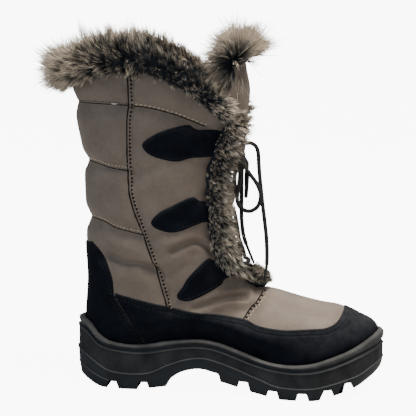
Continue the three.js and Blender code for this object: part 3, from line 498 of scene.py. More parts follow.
def scoreMesh(piece, field, drop=True):
    # cuts the faces where the field passes zero and, with drop, deletes what lies under it
    shape = bmesh.new()
    shape.from_mesh(piece.data)
    shape.verts.ensure_lookup_table()
    values = field(np.array([vert.co for vert in shape.verts]) / mm)
    below = values < 0
    fresh = []
    for edge in list(shape.edges):
        a, b = edge.verts
        if below[a.index] != below[b.index]:
            share = values[a.index] / (values[a.index] - values[b.index])
            fresh.append((edge, a, min(0.97, max(0.03, share))))
    doomed = [vert for vert in shape.verts if below[vert.index]]
    cuts = [bmesh.utils.edge_split(edge, a, share)[1] for edge, a, share in fresh]
    bmesh.ops.connect_verts(shape, verts=cuts)
    if drop:
        bmesh.ops.delete(shape, geom=doomed, context="VERTS")
    shape.to_mesh(piece.data)
    shape.free()
    piece.data.update()


def liftBy(piece, amountAt):
    # moves each point along its normal
    piece.data.update()
    points = readPoints(piece)
    normals = np.array([vert.normal for vert in piece.data.vertices])
    writePoints(piece, points + normals * amountAt(points)[:, None])


def collarHeight(x):
    return np.interp(x, collarEdge[:, 0], collarEdge[:, 1])


def throatHalf(z):
    up = np.where(z <= boot["instepHeight"], z / boot["instepHeight"],
                  1 + (z - boot["instepHeight"]) / (boot["shaftHeight"] - boot["instepHeight"]))
    return atShare(throat, "wide", up) * boot["throatHalfWidth"]


def openingField(points):
    # above zero on the wall, below it past the collar, in the throat and under the floor
    x, y, z = points.T
    above = collarHeight(x) - z
    floor = sideHeight("floor", np.clip(shareOf(x), 0, 1)) + 0.6
    slot = np.abs(y) - throatHalf(z)
    low = boot["instepHeight"] - 0.5 - z
    slot = np.where(x > along(0.38), np.maximum(slot, low), 99)
    return np.minimum(np.minimum(above, z - floor), slot)


# Finishes


def newFinish(name):
    finish = bpy.data.materials.new(name)
    finish.use_nodes = True
    shader = finish.node_tree.nodes["Principled BSDF"]
    return finish, finish.node_tree, shader


def addNode(tree, kind, settings=None, **inputs):
    # inputs go by their name, or by their number after an underscore
    node = tree.nodes.new(kind)
    for key, value in (settings or {}).items():
        setattr(node, key, value)
    for key, value in inputs.items():
        socket = node.inputs[int(key[1:])] if key[1:].isdigit() else node.inputs[key]
        if isinstance(value, bpy.types.NodeSocket):
            tree.links.new(value, socket)
        else:
            socket.default_value = value
    return node


def mixColors(tree, share, a, b):
    return addNode(tree, "ShaderNodeMix", {"data_type": "RGBA"}, _0=share, _6=a, _7=b).outputs[2]


def ramp(tree, value, stops):
    node = addNode(tree, "ShaderNodeValToRGB", _0=value)
    elements = node.color_ramp.elements
    while len(elements) < len(stops):
        elements.new(0.5)
    for element, (place, color) in zip(elements, stops):
        element.position = place
        element.color = color
    return node.outputs[0]


def calc(tree, operation, a, b=0.0):
    return addNode(tree, "ShaderNodeMath", {"operation": operation}, _0=a, _1=b).outputs[0]


def newGroup(name, inputs, outputs):
    group = bpy.data.node_groups.new(name, "ShaderNodeTree")
    for label, kind, value in inputs:
        socket = group.interface.new_socket(label, in_out="INPUT", socket_type=kind)
        if value is not None:
            socket.default_value = value
    for label, kind in outputs:
        group.interface.new_socket(label, in_out="OUTPUT", socket_type=kind)
    start = group.nodes.new("NodeGroupInput")
    end = group.nodes.new("NodeGroupOutput")
    return group, start, end


def useGroup(tree, group, **inputs):
    return addNode(tree, "ShaderNodeGroup", {"node_tree": group}, **inputs)


floatKind, vectorKind, colorKind = "NodeSocketFloat", "NodeSocketVector", "NodeSocketColor"


def makeClothWeave():
    # plain weave as crossed threads, with slubs
    group, start, end = newGroup("clothWeave", [
        ("Place", vectorKind, None), ("Threads", floatKind, 2600.0), ("Slub", floatKind, 0.4),
    ], [("Height", floatKind), ("Shade", floatKind)])
    scaled = addNode(group, "ShaderNodeVectorMath", {"operation": "SCALE"}, _0=start.outputs["Place"])
    group.links.new(start.outputs["Threads"], scaled.inputs["Scale"])
    parts = addNode(group, "ShaderNodeSeparateXYZ", _0=scaled.outputs[0])
    across = calc(group, "ADD", parts.outputs[0], parts.outputs[1])
    warp = calc(group, "SINE", across)
    weft = calc(group, "SINE", parts.outputs[2])
    woven = calc(group, "MULTIPLY", warp, weft)
    slub = addNode(group, "ShaderNodeTexNoise", None, Scale=0.05, Detail=3.0)
    group.links.new(scaled.outputs[0], slub.inputs["Vector"])
    uneven = calc(group, "MULTIPLY", slub.outputs[0], start.outputs["Slub"])
    group.links.new(calc(group, "ADD", woven, uneven), end.inputs["Height"])
    group.links.new(slub.outputs[0], end.inputs["Shade"])
    return group


def makeGrain():
    # fine grain over larger blotches, for nap and moulded rubber
    group, start, end = newGroup("grain", [
        ("Place", vectorKind, None), ("Fine", floatKind, 1800.0), ("Coarse", floatKind, 60.0),
    ], [("Height", floatKind), ("Blotch", floatKind)])
    fine = addNode(group, "ShaderNodeTexNoise", None, Detail=4.0, Roughness=0.6)
    coarse = addNode(group, "ShaderNodeTexNoise", None, Detail=5.0, Roughness=0.55)
    for node, label in ((fine, "Fine"), (coarse, "Coarse")):
        group.links.new(start.outputs["Place"], node.inputs["Vector"])
        group.links.new(start.outputs[label], node.inputs["Scale"])
    group.links.new(fine.outputs[0], end.inputs["Height"])
    group.links.new(coarse.outputs[0], end.inputs["Blotch"])
    return group


def makeDustAndSheen():
    # pale dust and painted sheen on faces that look up, broken by noise: the paler tops partly stand in for
    # the light falling from above
    group, start, end = newGroup("dustAndSheen", [
        ("Place", vectorKind, None), ("Amount", floatKind, 0.3),
    ], [("Mask", floatKind)])
    facing = addNode(group, "ShaderNodeNewGeometry")
    up = addNode(group, "ShaderNodeSeparateXYZ", _0=facing.outputs["Normal"])
    patchy = addNode(group, "ShaderNodeTexNoise", None, Scale=140.0, Detail=6.0)
    group.links.new(start.outputs["Place"], patchy.inputs["Vector"])
    raised = calc(group, "MAXIMUM", up.outputs[2], 0.02)
    mask = calc(group, "MULTIPLY", raised, patchy.outputs[0])
    group.links.new(calc(group, "MULTIPLY", mask, start.outputs["Amount"]), end.inputs["Mask"])
    return group


clothWeave, grain, dustAndSheen = makeClothWeave(), makeGrain(), makeDustAndSheen()


def placeOf(tree):
    return addNode(tree, "ShaderNodeTexCoord").outputs["Object"]


def addBump(tree, shader, height, strength, distance):
    bump = addNode(tree, "ShaderNodeBump", None, Strength=strength, Distance=distance, Height=height)
    tree.links.new(bump.outputs[0], shader.inputs["Normal"])


def setShader(shader, **values):
    for key, value in values.items():
        shader.inputs[key.replace("_", " ")].default_value = value


# painted light: the vamp's cloth is coloured lighter, standing in for the light that falls on it from above;
# places along the foot where that starts and is full
paintedVampLight = {"start": 0.1, "full": 0.135, "gain": 1.3}


def nylonFinish(name, dark, light, rough=0.5):
    finish, tree, shader = newFinish(name)
    place = placeOf(tree)
    weave = useGroup(tree, clothWeave, Place=place, Threads=5200.0, Slub=0.6)
    mottle = useGroup(tree, grain, Place=place, Fine=420.0, Coarse=26.0)
    shade = calc(tree, "ADD", calc(tree, "MULTIPLY", mottle.outputs["Blotch"], 0.75),
                 calc(tree, "MULTIPLY", weave.outputs["Shade"], 0.25))
    # painted light: the colour grows lighter toward the vamp, where light from above falls
    forward = addNode(tree, "ShaderNodeSeparateXYZ", _0=place).outputs[0]
    paintedLightGain = addNode(tree, "ShaderNodeMapRange", None, _0=forward, _1=paintedVampLight["start"],
                      _2=paintedVampLight["full"], _3=1.0, _4=paintedVampLight["gain"]).outputs[0]
    color = addNode(tree, "ShaderNodeVectorMath", {"operation": "SCALE"},
                    _0=ramp(tree, shade, [(0.3, dark), (0.72, light)]), Scale=paintedLightGain).outputs[0]
    tree.links.new(color, shader.inputs["Base Color"])
    rougher = calc(tree, "MULTIPLY_ADD", mottle.outputs["Height"], 0.14)
    rougher.node.inputs[2].default_value = rough - 0.07
    tree.links.new(rougher, shader.inputs["Roughness"])
    wrinkle = addNode(tree, "ShaderNodeTexNoise", None, Scale=190.0, Detail=3.0, Vector=place)
    height = calc(tree, "ADD", calc(tree, "MULTIPLY", weave.outputs["Height"], 0.06),
                  calc(tree, "MULTIPLY", wrinkle.outputs[0], 0.8))
    addBump(tree, shader, height, 0.25, 0.0006)
    setShader(shader, Sheen_Weight=0.08, Sheen_Roughness=0.4, Sheen_Tint=(0.9, 0.8, 0.7, 1),
              Specular_IOR_Level=0.2)
    return finish


def suedeFinish():
    finish, tree, shader = newFinish("suede")
    place = placeOf(tree)
    nap = useGroup(tree, grain, Place=place, Fine=1500.0, Coarse=70.0)
    dustSheenMask = useGroup(tree, dustAndSheen, Place=place, Amount=1.1)
    shades = [(0.3, (0.002, 0.003, 0.0058, 1)), (0.75, (0.0055, 0.0075, 0.013, 1))]
    base = ramp(tree, nap.outputs["Blotch"], shades)
    # dust and painted sheen: faces that look up are mixed toward a paler colour, partly standing in for the
    # light from above
    color = mixColors(tree, dustSheenMask.outputs["Mask"], base, (0.045, 0.047, 0.054, 1))
    tree.links.new(color, shader.inputs["Base Color"])
    addBump(tree, shader, nap.outputs["Height"], 0.5, 0.0005)
    setShader(shader, Roughness=0.92, Sheen_Weight=0.02, Sheen_Roughness=0.5, Sheen_Tint=(0.55, 0.62, 0.8, 1),
              Specular_IOR_Level=0.06)
    return finish


def rubberFinish(name, dark, light, rough, fine, strength, dustSheenAmount):
    finish, tree, shader = newFinish(name)
    place = placeOf(tree)
    skin = useGroup(tree, grain, Place=place, Fine=fine, Coarse=48.0)
    dustSheenMask = useGroup(tree, dustAndSheen, Place=place, Amount=dustSheenAmount)
    base = ramp(tree, skin.outputs["Blotch"], [(0.3, dark), (0.72, light)])
    # dust and painted sheen: faces that look up are mixed toward a paler colour, partly standing in for the
    # light from above
    color = mixColors(tree, dustSheenMask.outputs["Mask"], base, (0.16, 0.155, 0.15, 1))
    tree.links.new(color, shader.inputs["Base Color"])
    addBump(tree, shader, skin.outputs["Height"], strength, 0.0006)
    setShader(shader, Roughness=rough, Specular_IOR_Level=0.22)
    return finish


def laceFinish():
    # braid from the tube's own map: u round it, v along it in millimetres
    finish, tree, shader = newFinish("laceCord")
    mapped = addNode(tree, "ShaderNodeUVMap").outputs[0]
    parts = addNode(tree, "ShaderNodeSeparateXYZ", _0=mapped)
    strands, slope = 4, 2.6
    turns = calc(tree, "MULTIPLY", parts.outputs[0], 2 * math.pi * strands)
    steps = calc(tree, "MULTIPLY", parts.outputs[1], slope)
    one = calc(tree, "SINE", calc(tree, "ADD", turns, steps))
    other = calc(tree, "SINE", calc(tree, "SUBTRACT", turns, steps))
    braid = calc(tree, "MAXIMUM", one, other)
    color = ramp(tree, braid, [(0.0, (0.003, 0.0032, 0.004, 1)), (1.0, (0.02, 0.021, 0.024, 1))])
    tree.links.new(color, shader.inputs["Base Color"])
    addBump(tree, shader, braid, 0.6, 0.0004)
    setShader(shader, Roughness=0.6, Sheen_Weight=0.04, Specular_IOR_Level=0.25)
    return finish


def threadFinish(name, color, shine=0.3):
    finish, tree, shader = newFinish(name)
    weave = useGroup(tree, clothWeave, Place=placeOf(tree), Threads=9000.0, Slub=1.0)
    shades = [(0.2, tuple(0.6 * c for c in color[:3]) + (1,)), (0.8, color)]
    tree.links.new(ramp(tree, weave.outputs["Shade"], shades), shader.inputs["Base Color"])
    addBump(tree, shader, weave.outputs["Height"], 0.3, 0.0002)
    setShader(shader, Roughness=0.6, Sheen_Weight=0.4 * shine, Specular_IOR_Level=shine)
    return finish


def furFinish(name, root, middle, tip):
    # the strand's own map: u a number for the strand, v from root to tip
    finish, tree, shader = newFinish(name)
    mapped = addNode(tree, "ShaderNodeUVMap").outputs[0]
    parts = addNode(tree, "ShaderNodeSeparateXYZ", _0=mapped)
    patches = addNode(tree, "ShaderNodeTexNoise", None, Scale=60.0, Detail=2.0, Vector=placeOf(tree))
    uneven = calc(tree, "MULTIPLY", calc(tree, "SUBTRACT", patches.outputs[0], 0.5), 0.7)
    lifted = calc(tree, "ADD", parts.outputs[1], uneven)
    own = calc(tree, "MULTIPLY", calc(tree, "SUBTRACT", parts.outputs[0], 0.5), 0.5)
    shades = [(0.2, root), (0.52, middle), (0.92, tip)]
    tree.links.new(ramp(tree, calc(tree, "ADD", lifted, own), shades), shader.inputs["Base Color"])
    setShader(shader, Roughness=0.6, Specular_IOR_Level=0.2)
    return finish


finishes = {
    "nylon": nylonFinish("nylon", (0.125, 0.1, 0.085, 1), (0.2, 0.165, 0.14, 1)),
    "lining": nylonFinish("liningPile", (0.03, 0.027, 0.025, 1), (0.08, 0.07, 0.062, 1), 0.9),
    # painted shade: a near-black finish for the tubes that stand for the shadow in the seam grooves
    "crease": threadFinish("creaseShadow", (0.01, 0.008, 0.007, 1), 0.05),
    "suede": suedeFinish(),
    "rubber": rubberFinish("rubberLugs", (0.0085, 0.0118, 0.0165, 1), (0.016, 0.021, 0.0285, 1),
                           0.55, 700.0, 0.08, 0.06),
    "stipple": rubberFinish("rubberStippled", (0.006, 0.0068, 0.0085, 1), (0.03, 0.032, 0.037, 1),
                            0.75, 950.0, 0.9, 0.12),
    "rim": rubberFinish("rubberRim", (0.02, 0.021, 0.025, 1), (0.075, 0.077, 0.082, 1), 0.7, 520.0, 0.6, 0.4),
    "ridge": rubberFinish("rubberRidge", (0.05, 0.052, 0.056, 1), (0.1, 0.1, 0.105, 1), 0.6, 700.0, 0.2, 0.4),
    "lace": laceFinish(),
    "paleThread": threadFinish("paleThread", (0.55, 0.45, 0.34, 1)),
    "tapeThread": threadFinish("tapeThread", (0.3, 0.25, 0.2, 1)),
    "whiteThread": threadFinish("whiteThread", (0.85, 0.83, 0.8, 1)),
    "darkThread": threadFinish("darkThread", (0.012, 0.01, 0.01, 1), 0.1),
    "suedeThread": threadFinish("suedeThread", (0.014, 0.016, 0.021, 1), 0.1),
    "aglet": rubberFinish("agletPlastic", (0.015, 0.015, 0.016, 1), (0.03, 0.03, 0.03, 1),
                          0.3, 300.0, 0.1, 0.2),
    "fur": furFinish("pileFur", (0.006, 0.011, 0.017, 1), (0.1, 0.097, 0.091, 1), (0.74, 0.64, 0.53, 1)),
}
print("finishes made")

# Upper

toeRow = 21
upperBuild = {
    "firstRow": 0.3, "step": 1.7, "columns": 196, "wall": 2.3, "toeCap": 3.2,
    "capRows": np.array([0.25, 0.5, 0.75, 1]),
}


def wrapPoints(v, turn, sunk=True, offset=0.0):
    # rows past the last one close the toe
    v, turn = np.asarray(v, float), np.asarray(turn, float)
    points = lastPoints(np.minimum(v, toeRow)[:, None], turn[None, :])
    past = v > toeRow
    if past.any():
        ring = lastPoints(np.full(1, toeRow)[:, None], turn[None, :])[0]
        centre = ring.mean(0)
        tip = np.array([upperBuild["toeCap"], 0, 0])
        for i in np.where(past)[0]:
            t = min(1.0, v[i] - toeRow) * math.pi / 2
            points[i] = centre + (ring - centre) * math.cos(t) + tip * math.sin(t)
    closed = abs(turn[-1] - turn[0] - 2 * math.pi) < 1e-6
    normals = gridNormals(points, closed)
    if past.any() and v[-1] >= toeRow + 1:
        normals[-1] = np.array([1, 0, 0])
    lift = offset - (sinkAt(points) if sunk else 0)
    return points + normals * (lift * np.ones(points.shape[:2]))[:, :, None], points, normals


def wrapGrid(name, points):
    piece = addGrid(name, *points.shape[:2], points.reshape(-1, 3))
    closeUp(piece, 1e-5)
    return piece


def treeOf(points):
    rows, columns = points.shape[:2]
    corner = np.arange((rows - 1) * columns).reshape(rows - 1, columns)[:, :-1].ravel()
    faces = np.stack([corner, corner + 1, corner + columns + 1, corner + columns], 1)
    return BVHTree.FromPolygons(points.reshape(-1, 3).tolist(), faces.tolist())


def turnNormalsOut(piece, inside=(60, 0, 120)):
    # an open shell may come out facing in: its faces have to point away from a place inside the boot
    piece.data.update()
    away = sum((Vector(face.center) - Vector(inside) * mm).normalized().dot(face.normal) * face.area
               for face in piece.data.polygons)
    if away < 0:
        piece.data.flip_normals()


def makeUpper(build):
    v = np.concatenate([evenRows(build["firstRow"], toeRow, build["step"]), toeRow + build["capRows"]])
    turn = np.linspace(-math.pi, math.pi, build["columns"] + 1)
    points = wrapPoints(v, turn)[0]
    upper = wrapGrid("upperShell", points)
    turnNormalsOut(upper)
    scoreMesh(upper, openingField)
    upper.data.materials.append(finishes["nylon"])
    upper.data.materials.append(finishes["lining"])
    applyModifier(upper, "SOLIDIFY", thickness=build["wall"] * mm, offset=-1, material_offset=1)
    smoothShade(upper)
    settle(upper, "nylon", "upper")
    whole = lastPoints(evenRows(0, toeRow, 3)[:, None], turn[None, ::2])
    return upper, treeOf(points), treeOf(whole)


upper, upperTree, lastTree = makeUpper(upperBuild)
print("upper made")


def rayTo(tree, start, way):
    spot, normal, _, _ = tree.ray_cast(Vector(start), Vector(way))
    if spot is None:
        return None
    if normal.dot(Vector(way)) > 0:
        normal = -normal
    return np.array(spot), np.array(normal)


clearSide = 300  # a distance out from the side that is past everything


def sideSpots(line, sign, tree):
    # places on a side of the boot for points in the side view
    spots = [rayTo(tree, (x, sign * clearSide, z), (0, -sign, 0)) for x, z in line]
    return [spot for spot in spots if spot]


# the shaft from one side of the throat round the heel to the other, for finding seams
shaftTurns = np.linspace(-2 * math.pi + 0.3, -0.3, 700)
shaftRows = np.linspace(0, 12, 500)
shaftGrid = lastPoints(shaftRows[:, None], shaftTurns[None, :])


def seamSpots(line, rise, pitch, front=1e9, back=-1e9):
    # places along a seam, set higher than it by the rise, between two places along the foot
    turns, rows, grid = shaftTurns, shaftRows, shaftGrid
    over = grid[..., 2] - np.interp(grid[..., 0], line[:, 0], line[:, 1]) - rise
    k = np.clip(np.argmax(over < 0, axis=0), 1, None)
    pick = np.arange(len(turns))
    a, b = over[k - 1, pick], over[k, pick]
    v = rows[k - 1] + (rows[k] - rows[k - 1]) * a / (a - b)
    small = 0.02
    place = lastPoints(v, turns)
    out = unit(-np.cross(lastPoints(v, turns + small) - place, lastPoints(v + small, turns) - place))
    place = place - out * sinkAt(place)[:, None]
    keep = (place[:, 0] < min(front, line[-1, 0])) & (place[:, 0] > back)
    runs = []
    for run in np.split(np.where(keep)[0], np.where(np.diff(np.where(keep)[0]) > 1)[0] + 1):
        if len(run) < 4:
            continue
        length = lengthAlong(place[run])
        at = np.arange(0, length[-1], pitch)
        runs.append([readAt(at, length, values[run]) for values in (place, out)])
    return runs


def runStitches(runs, skew=0.0):
    spots = []
    for place, out in runs:
        way = unit(np.gradient(place, axis=0))
        way = way + skew * np.cross(out, way)
        spots += list(zip(place, way, out))
    return spots


# Overlays

counterEdge = [
    [-0.2, 1.2], [0.045, 1.2], [0.073, 1.212], [0.101, 1.178], [0.126, 1.119], [0.144, 1.05],
    [0.149, 0.958], [0.152, 0.921], [0.202, 0.684], [0.241, 0.478], [0.252, 0.42],
]
guardTop = [
    [0.155, 0.958], [0.234, 0.905], [0.326, 0.847], [0.417, 0.795], [0.462, 0.786], [0.565, 0.744],
    [0.615, 0.691], [0.691, 0.663], [0.766, 0.672], [0.819, 0.68], [0.853, 0.72], [0.874, 0.8],
]
tabOutlines = [
    [[0.252, 1.68], [0.274, 1.716], [0.323, 1.751], [0.392, 1.774], [0.42, 1.752], [0.493, 1.741],
     [0.493, 1.64], [0.403, 1.622], [0.351, 1.608], [0.28, 1.635]],
    [[0.276, 1.325], [0.3, 1.37], [0.337, 1.4], [0.401, 1.442], [0.427, 1.421], [0.483, 1.411],
     [0.483, 1.325], [0.431, 1.32], [0.352, 1.279], [0.299, 1.292]],
    [[0.353, 0.964], [0.37, 1.02], [0.392, 1.071], [0.446, 1.15], [0.469, 1.137], [0.542, 1.081],
     [0.5, 1.051], [0.486, 1.024], [0.401, 0.914], [0.361, 0.916]],
]
overlay = {
    "thickness": 1.5, "tabThickness": 2.0, "back": 0.9, "roll": 1.5, "rollLines": (0.5, 1.2),
    "stitchDip": 0.35, "dipWidth": 0.6, "dipLines": (-0.7, 0, 0.7), "sunk": 0.15,
    "step": 1.5, "girth": 330, "searchRows": 170, "searchColumns": 145, "searchMargin": 4,
    "capRows": np.array([0.2, 0.4, 0.6, 0.8, 1]), "hem": 5,
}


def rimLine(drop, low, high):
    at = np.linspace(low, high, 60)
    return np.stack([along(at), sideHeight("rim", at) - drop], 1)


def addOverlay(name, node, finish, field, turnStart, thickness, insets):
    # the patch's part of the last, found on a coarse grid, then wrapped finely and cut by its outline
    o = overlay
    v = np.linspace(0, toeRow, o["searchRows"])
    turn = turnStart + np.linspace(0, 2 * math.pi, o["searchColumns"])
    coarse = lastPoints(v[:, None], turn[None, :])
    inside = field(coarse.reshape(-1, 3)).reshape(coarse.shape[:2]) > -o["searchMargin"]
    rows, columns = np.where(inside.any(1))[0], np.where(inside.any(0))[0]
    lowV, highV = v[max(0, rows[0] - 1)], v[min(len(v) - 1, rows[-1] + 1)]
    lowT, highT = turn[max(0, columns[0] - 1)], turn[min(len(turn) - 1, columns[-1] + 1)]
    girth = o["girth"] * (highT - lowT) / (2 * math.pi)
    fine = np.linspace(lowT, highT, int(girth / o["step"]) + 2)
    v = evenRows(lowV, highV, o["step"])
    if highV >= toeRow:
        v = np.concatenate([v, toeRow + o["capRows"]])
    piece = wrapGrid(name, wrapPoints(v, fine)[0])
    turnNormalsOut(piece, (90, 0, 60))
    scoreMesh(piece, field)
    for level in o["rollLines"] + tuple(inset + d for inset in insets for d in o["dipLines"]):
        scoreMesh(piece, lambda p, level=level: field(p) - level, drop=False)

    def lift(p):
        d = field(p)
        amount = thickness * np.sqrt(np.clip(d / o["roll"], 0, 1)) - o["sunk"]
        for inset in insets:
            amount = amount - o["stitchDip"] * np.exp(-(((d - inset) / o["dipWidth"]) ** 2))
        return amount

    liftBy(piece, lift)
    applyModifier(piece, "SOLIDIFY", thickness=o["back"] * mm, offset=-1)
    smoothShade(piece)
    piece.data.materials.append(finishes[finish])
    settle(piece, finish, node)
    return piece


def sideField(loop, sign=0):
    def field(points):
        x, y, z = points.T
        d = insideOf(x, z, loop)
        return np.minimum(d, y * sign) if sign else d
    return field


counterLine = rounded(placed(counterEdge[2:]))
counterTop = placed(counterEdge[:2])
hemStart, hemSplit, hemEnd = 0.0, 0.26, 1.0  # places along the sole where the patches go under its rim
counterLoop = np.vstack([
    counterTop, counterLine, rimLine(overlay["hem"], hemStart, hemSplit)[::-1], [[-90, 50]],
])
counter = addOverlay("heelCounter", "heel_counter", "suede", sideField(counterLoop), 0,
                     overlay["thickness"], [2.6, 5.0])

guardLine = rounded(placed(guardTop))
guardSeam = placed(counterEdge[6:]) + [0.05, 0]
pastToe = [[260, 60], [260, 120], [guardLine[-1][0] + 1.5, 120]]
guardLoop = np.vstack([
    guardSeam, rimLine(overlay["hem"], hemSplit, hemEnd), pastToe, guardLine[::-1],
])
guard = addOverlay("mudguardSuede", "mudguard", "suede", sideField(guardLoop), -math.pi,
                   overlay["thickness"], [2.6, 5.4])
print("suede patches made")

sides = {"lateral": -1, "medial": 1}
tabLoops = [rounded(placed(points), True) for points in tabOutlines]
tabInset = 2.4
for sideName, sign in sides.items():
    for number, loop in enumerate(tabLoops, 1):
        addOverlay(f"laceTab_{sideName}_{number}", f"lace_tab_{sideName}_{number}", "suede",
                   sideField(loop, sign), -math.pi, overlay["tabThickness"], [tabInset])

strip = {"width": 5.2, "thickness": 1.0}
for sideName, sign in sides.items():
    line = seamLines["upright"][1]
    edge = np.vstack([line + [strip["width"] / 2, 0], (line - [strip["width"] / 2, 0])[::-1]])
    addOverlay(f"seamStrip_{sideName}", f"seam_strip_{sideName}", "nylon", sideField(edge, sign),
               -math.pi, strip["thickness"], [])
print("tabs and seam tapes made")

# Stitching: one thread modelled once, then copied along each row

thread = {"sides": 6, "rings": 4, "flatter": 0.75, "blunt": 0.5}


def makeThreadShape():
    startFresh()
    bpy.ops.mesh.primitive_uv_sphere_add(segments=thread["sides"], ring_count=thread["rings"], radius=1)
    piece = nameIt("threadShape")
    corners = np.array([vert.co for vert in piece.data.vertices])
    corners[:, 2] = np.sign(corners[:, 2]) * np.abs(corners[:, 2]) ** thread["blunt"]
    faces = [tuple(face.vertices) for face in piece.data.polygons]
    bpy.data.objects.remove(piece)
    return corners, faces


threadCorners, threadFaces = makeThreadShape()


def addStitches(name, spots, finish, length, radius, sinkIn=0.1):
    # spots: place, direction and surface normal of each stitch
    points, faces = [], []
    for place, way, out in spots:
        way = unit(way)
        across = unit(np.cross(way, out))
        out = np.cross(across, way)
        first = len(points) * len(threadCorners)
        local = threadCorners * [radius, radius * thread["flatter"], length / 2]
        points.append(place - out * sinkIn + local @ np.stack([across, out, way]))
        faces += [tuple(first + k for k in face) for face in threadFaces]
    mesh = bpy.data.meshes.new(name)
    mesh.from_pydata((np.concatenate(points) * mm).tolist(), [], faces)
    mesh.materials.append(finishes[finish])
    mesh.shade_smooth()
    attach(placeMesh(name, mesh), "root")


def stitchSpots(line, sign, tree, pitch, skew=0.0):
    found = sideSpots(resampled(line, pitch), sign, tree)
    spots = []
    for i, (place, normal) in enumerate(found[:-1]):
        way = found[i + 1][0] - place
        if np.linalg.norm(way) > 4 * pitch:
            continue
        way = way / max(1e-9, np.linalg.norm(way))
        spots.append((place, way + skew * np.cross(normal, way), normal))
    return spots


def treeOfPiece(piece):
    return BVHTree.FromPolygons(readPoints(piece).tolist(), [tuple(f.vertices) for f in piece.data.polygons])


def offsetLine(line, distance):
    tangent = unit(np.gradient(line, axis=0))
    return line + distance * np.stack([-tangent[:, 1], tangent[:, 0]], 1)


stitching = {
    "pitch": 3.4, "seamPitch": 3.4, "frontPitch": 4.1, "tabPitch": 2.9, "stripPitch": 3.5,
    "topRise": 1.9, "ringRise": 3.2, "ringBack": -36, "frontSkew": 0.3, "ringSkew": 0.35, "tapeSkew": 0.5,
    "boldLift": 0.9, "tapeLift": 1.2, "tabLift": 2.0, "patchInsets": (2.6, 5.0), "vampInsets": (1.6, 3.4),
}
# the straight row down the strap of the highest tab
strapRow = np.array([[63.7, 219.5], [64.5, 235]])
counterTree, guardTree = treeOfPiece(counter), treeOfPiece(guard)
pale, front, dark, bold, taped, black, tabThread = [], [], [], [], [], [], []
topLine, upright, vamp = (seamLines[name][1] for name in ("top", "upright", "vamp"))


def ringRow(line, rise, pitch, skew=0.0, **ends):
    return runStitches(seamSpots(line, stitching[rise], stitching[pitch], **ends), skew)


def raised(spots, lift, ahead=0.0):
    return [(place + lift * normal + ahead * way, way, normal) for place, way, normal in spots]


front += ringRow(topLine, "topRise", "frontPitch", stitching["frontSkew"], back=9)
dark += ringRow(topLine, "topRise", "seamPitch", front=8)
for name in ("second", "third"):
    ring, heel = seamLines[name][1], stitching["ringBack"]
    pale += ringRow(ring, "ringRise", "seamPitch", stitching["ringSkew"], back=heel)
    dark += ringRow(ring, "ringRise", "seamPitch", front=heel)
for sign in sides.values():
    for inset in stitching["patchInsets"]:
        for line, tree in ((counterLine, counterTree), (guardLine, guardTree)):
            black += stitchSpots(offsetLine(line, -inset), sign, tree, stitching["pitch"])
    pitch = stitching["stripPitch"]
    middleRow = offsetLine(upright, 0.2)
    bold += raised(stitchSpots(middleRow, sign, upperTree, pitch), stitching["boldLift"])
    taped += raised(stitchSpots(middleRow, sign, upperTree, pitch, stitching["tapeSkew"]),
                    stitching["tapeLift"], 0.5 * pitch)
    for rows, inset in zip((bold, pale), stitching["vampInsets"]):
        rows += stitchSpots(offsetLine(vamp, inset), sign, upperTree, pitch)
    for loop in tabLoops:
        closed = np.vstack([loop, loop[:1]])
        inner = [offsetLine(closed, d) for d in (tabInset, -tabInset)]
        inner = min(inner, key=lambda line: np.abs(np.diff(line, axis=0)).sum())
        tabThread += stitchSpots(inner, sign, upperTree, stitching["tabPitch"])
    tabThread += stitchSpots(strapRow, sign, upperTree, stitching["tabPitch"])
# length and radius of each row's thread
addStitches("frontStitches", front, "paleThread", 2.9, 0.85)
addStitches("paleStitches", pale, "paleThread", 2.3, 0.68)
addStitches("darkStitches", dark, "darkThread", 2.2, 0.5)
addStitches("boldStitches", bold, "darkThread", 2.2, 1.2)
addStitches("tapeStitches", taped, "tapeThread", 1.5, 0.6)
addStitches("patchStitches", black, "suedeThread", 2.1, 0.5)
addStitches("tabStitches", raised(tabThread, stitching["tabLift"]), "suedeThread", 1.9, 0.5, 0.5)
# the small pale bar on the top seam
barBuild = {"x": -6, "rise": 0.9, "length": 8.5, "radius": 0.8}
barHeight = barBuild["rise"] + float(np.interp(barBuild["x"], topLine[:, 0], topLine[:, 1]))
bar = rayTo(upperTree, (barBuild["x"], -clearSide, barHeight), (0, 1, 0))
addStitches("threadBar", [(bar[0], np.array([1.0, 0, 0]), bar[1])], "whiteThread",
            barBuild["length"], barBuild["radius"])
print("stitching made")

# Tongue and footbed

tongueBuild = {
    "thickness": 5, "halfWidth": 32, "ends": 0.6, "top": 2.08, "waist": 1.4, "shoulder": 1.85, "corner": 5,
    "firstRow": 0.4, "endRow": 13, "step": 2.2, "halfTurn": 1.25, "columns": 70,
    "wrinkle": 0.9, "wrinkleAt": 250, "wrinkleSpread": 28,
}


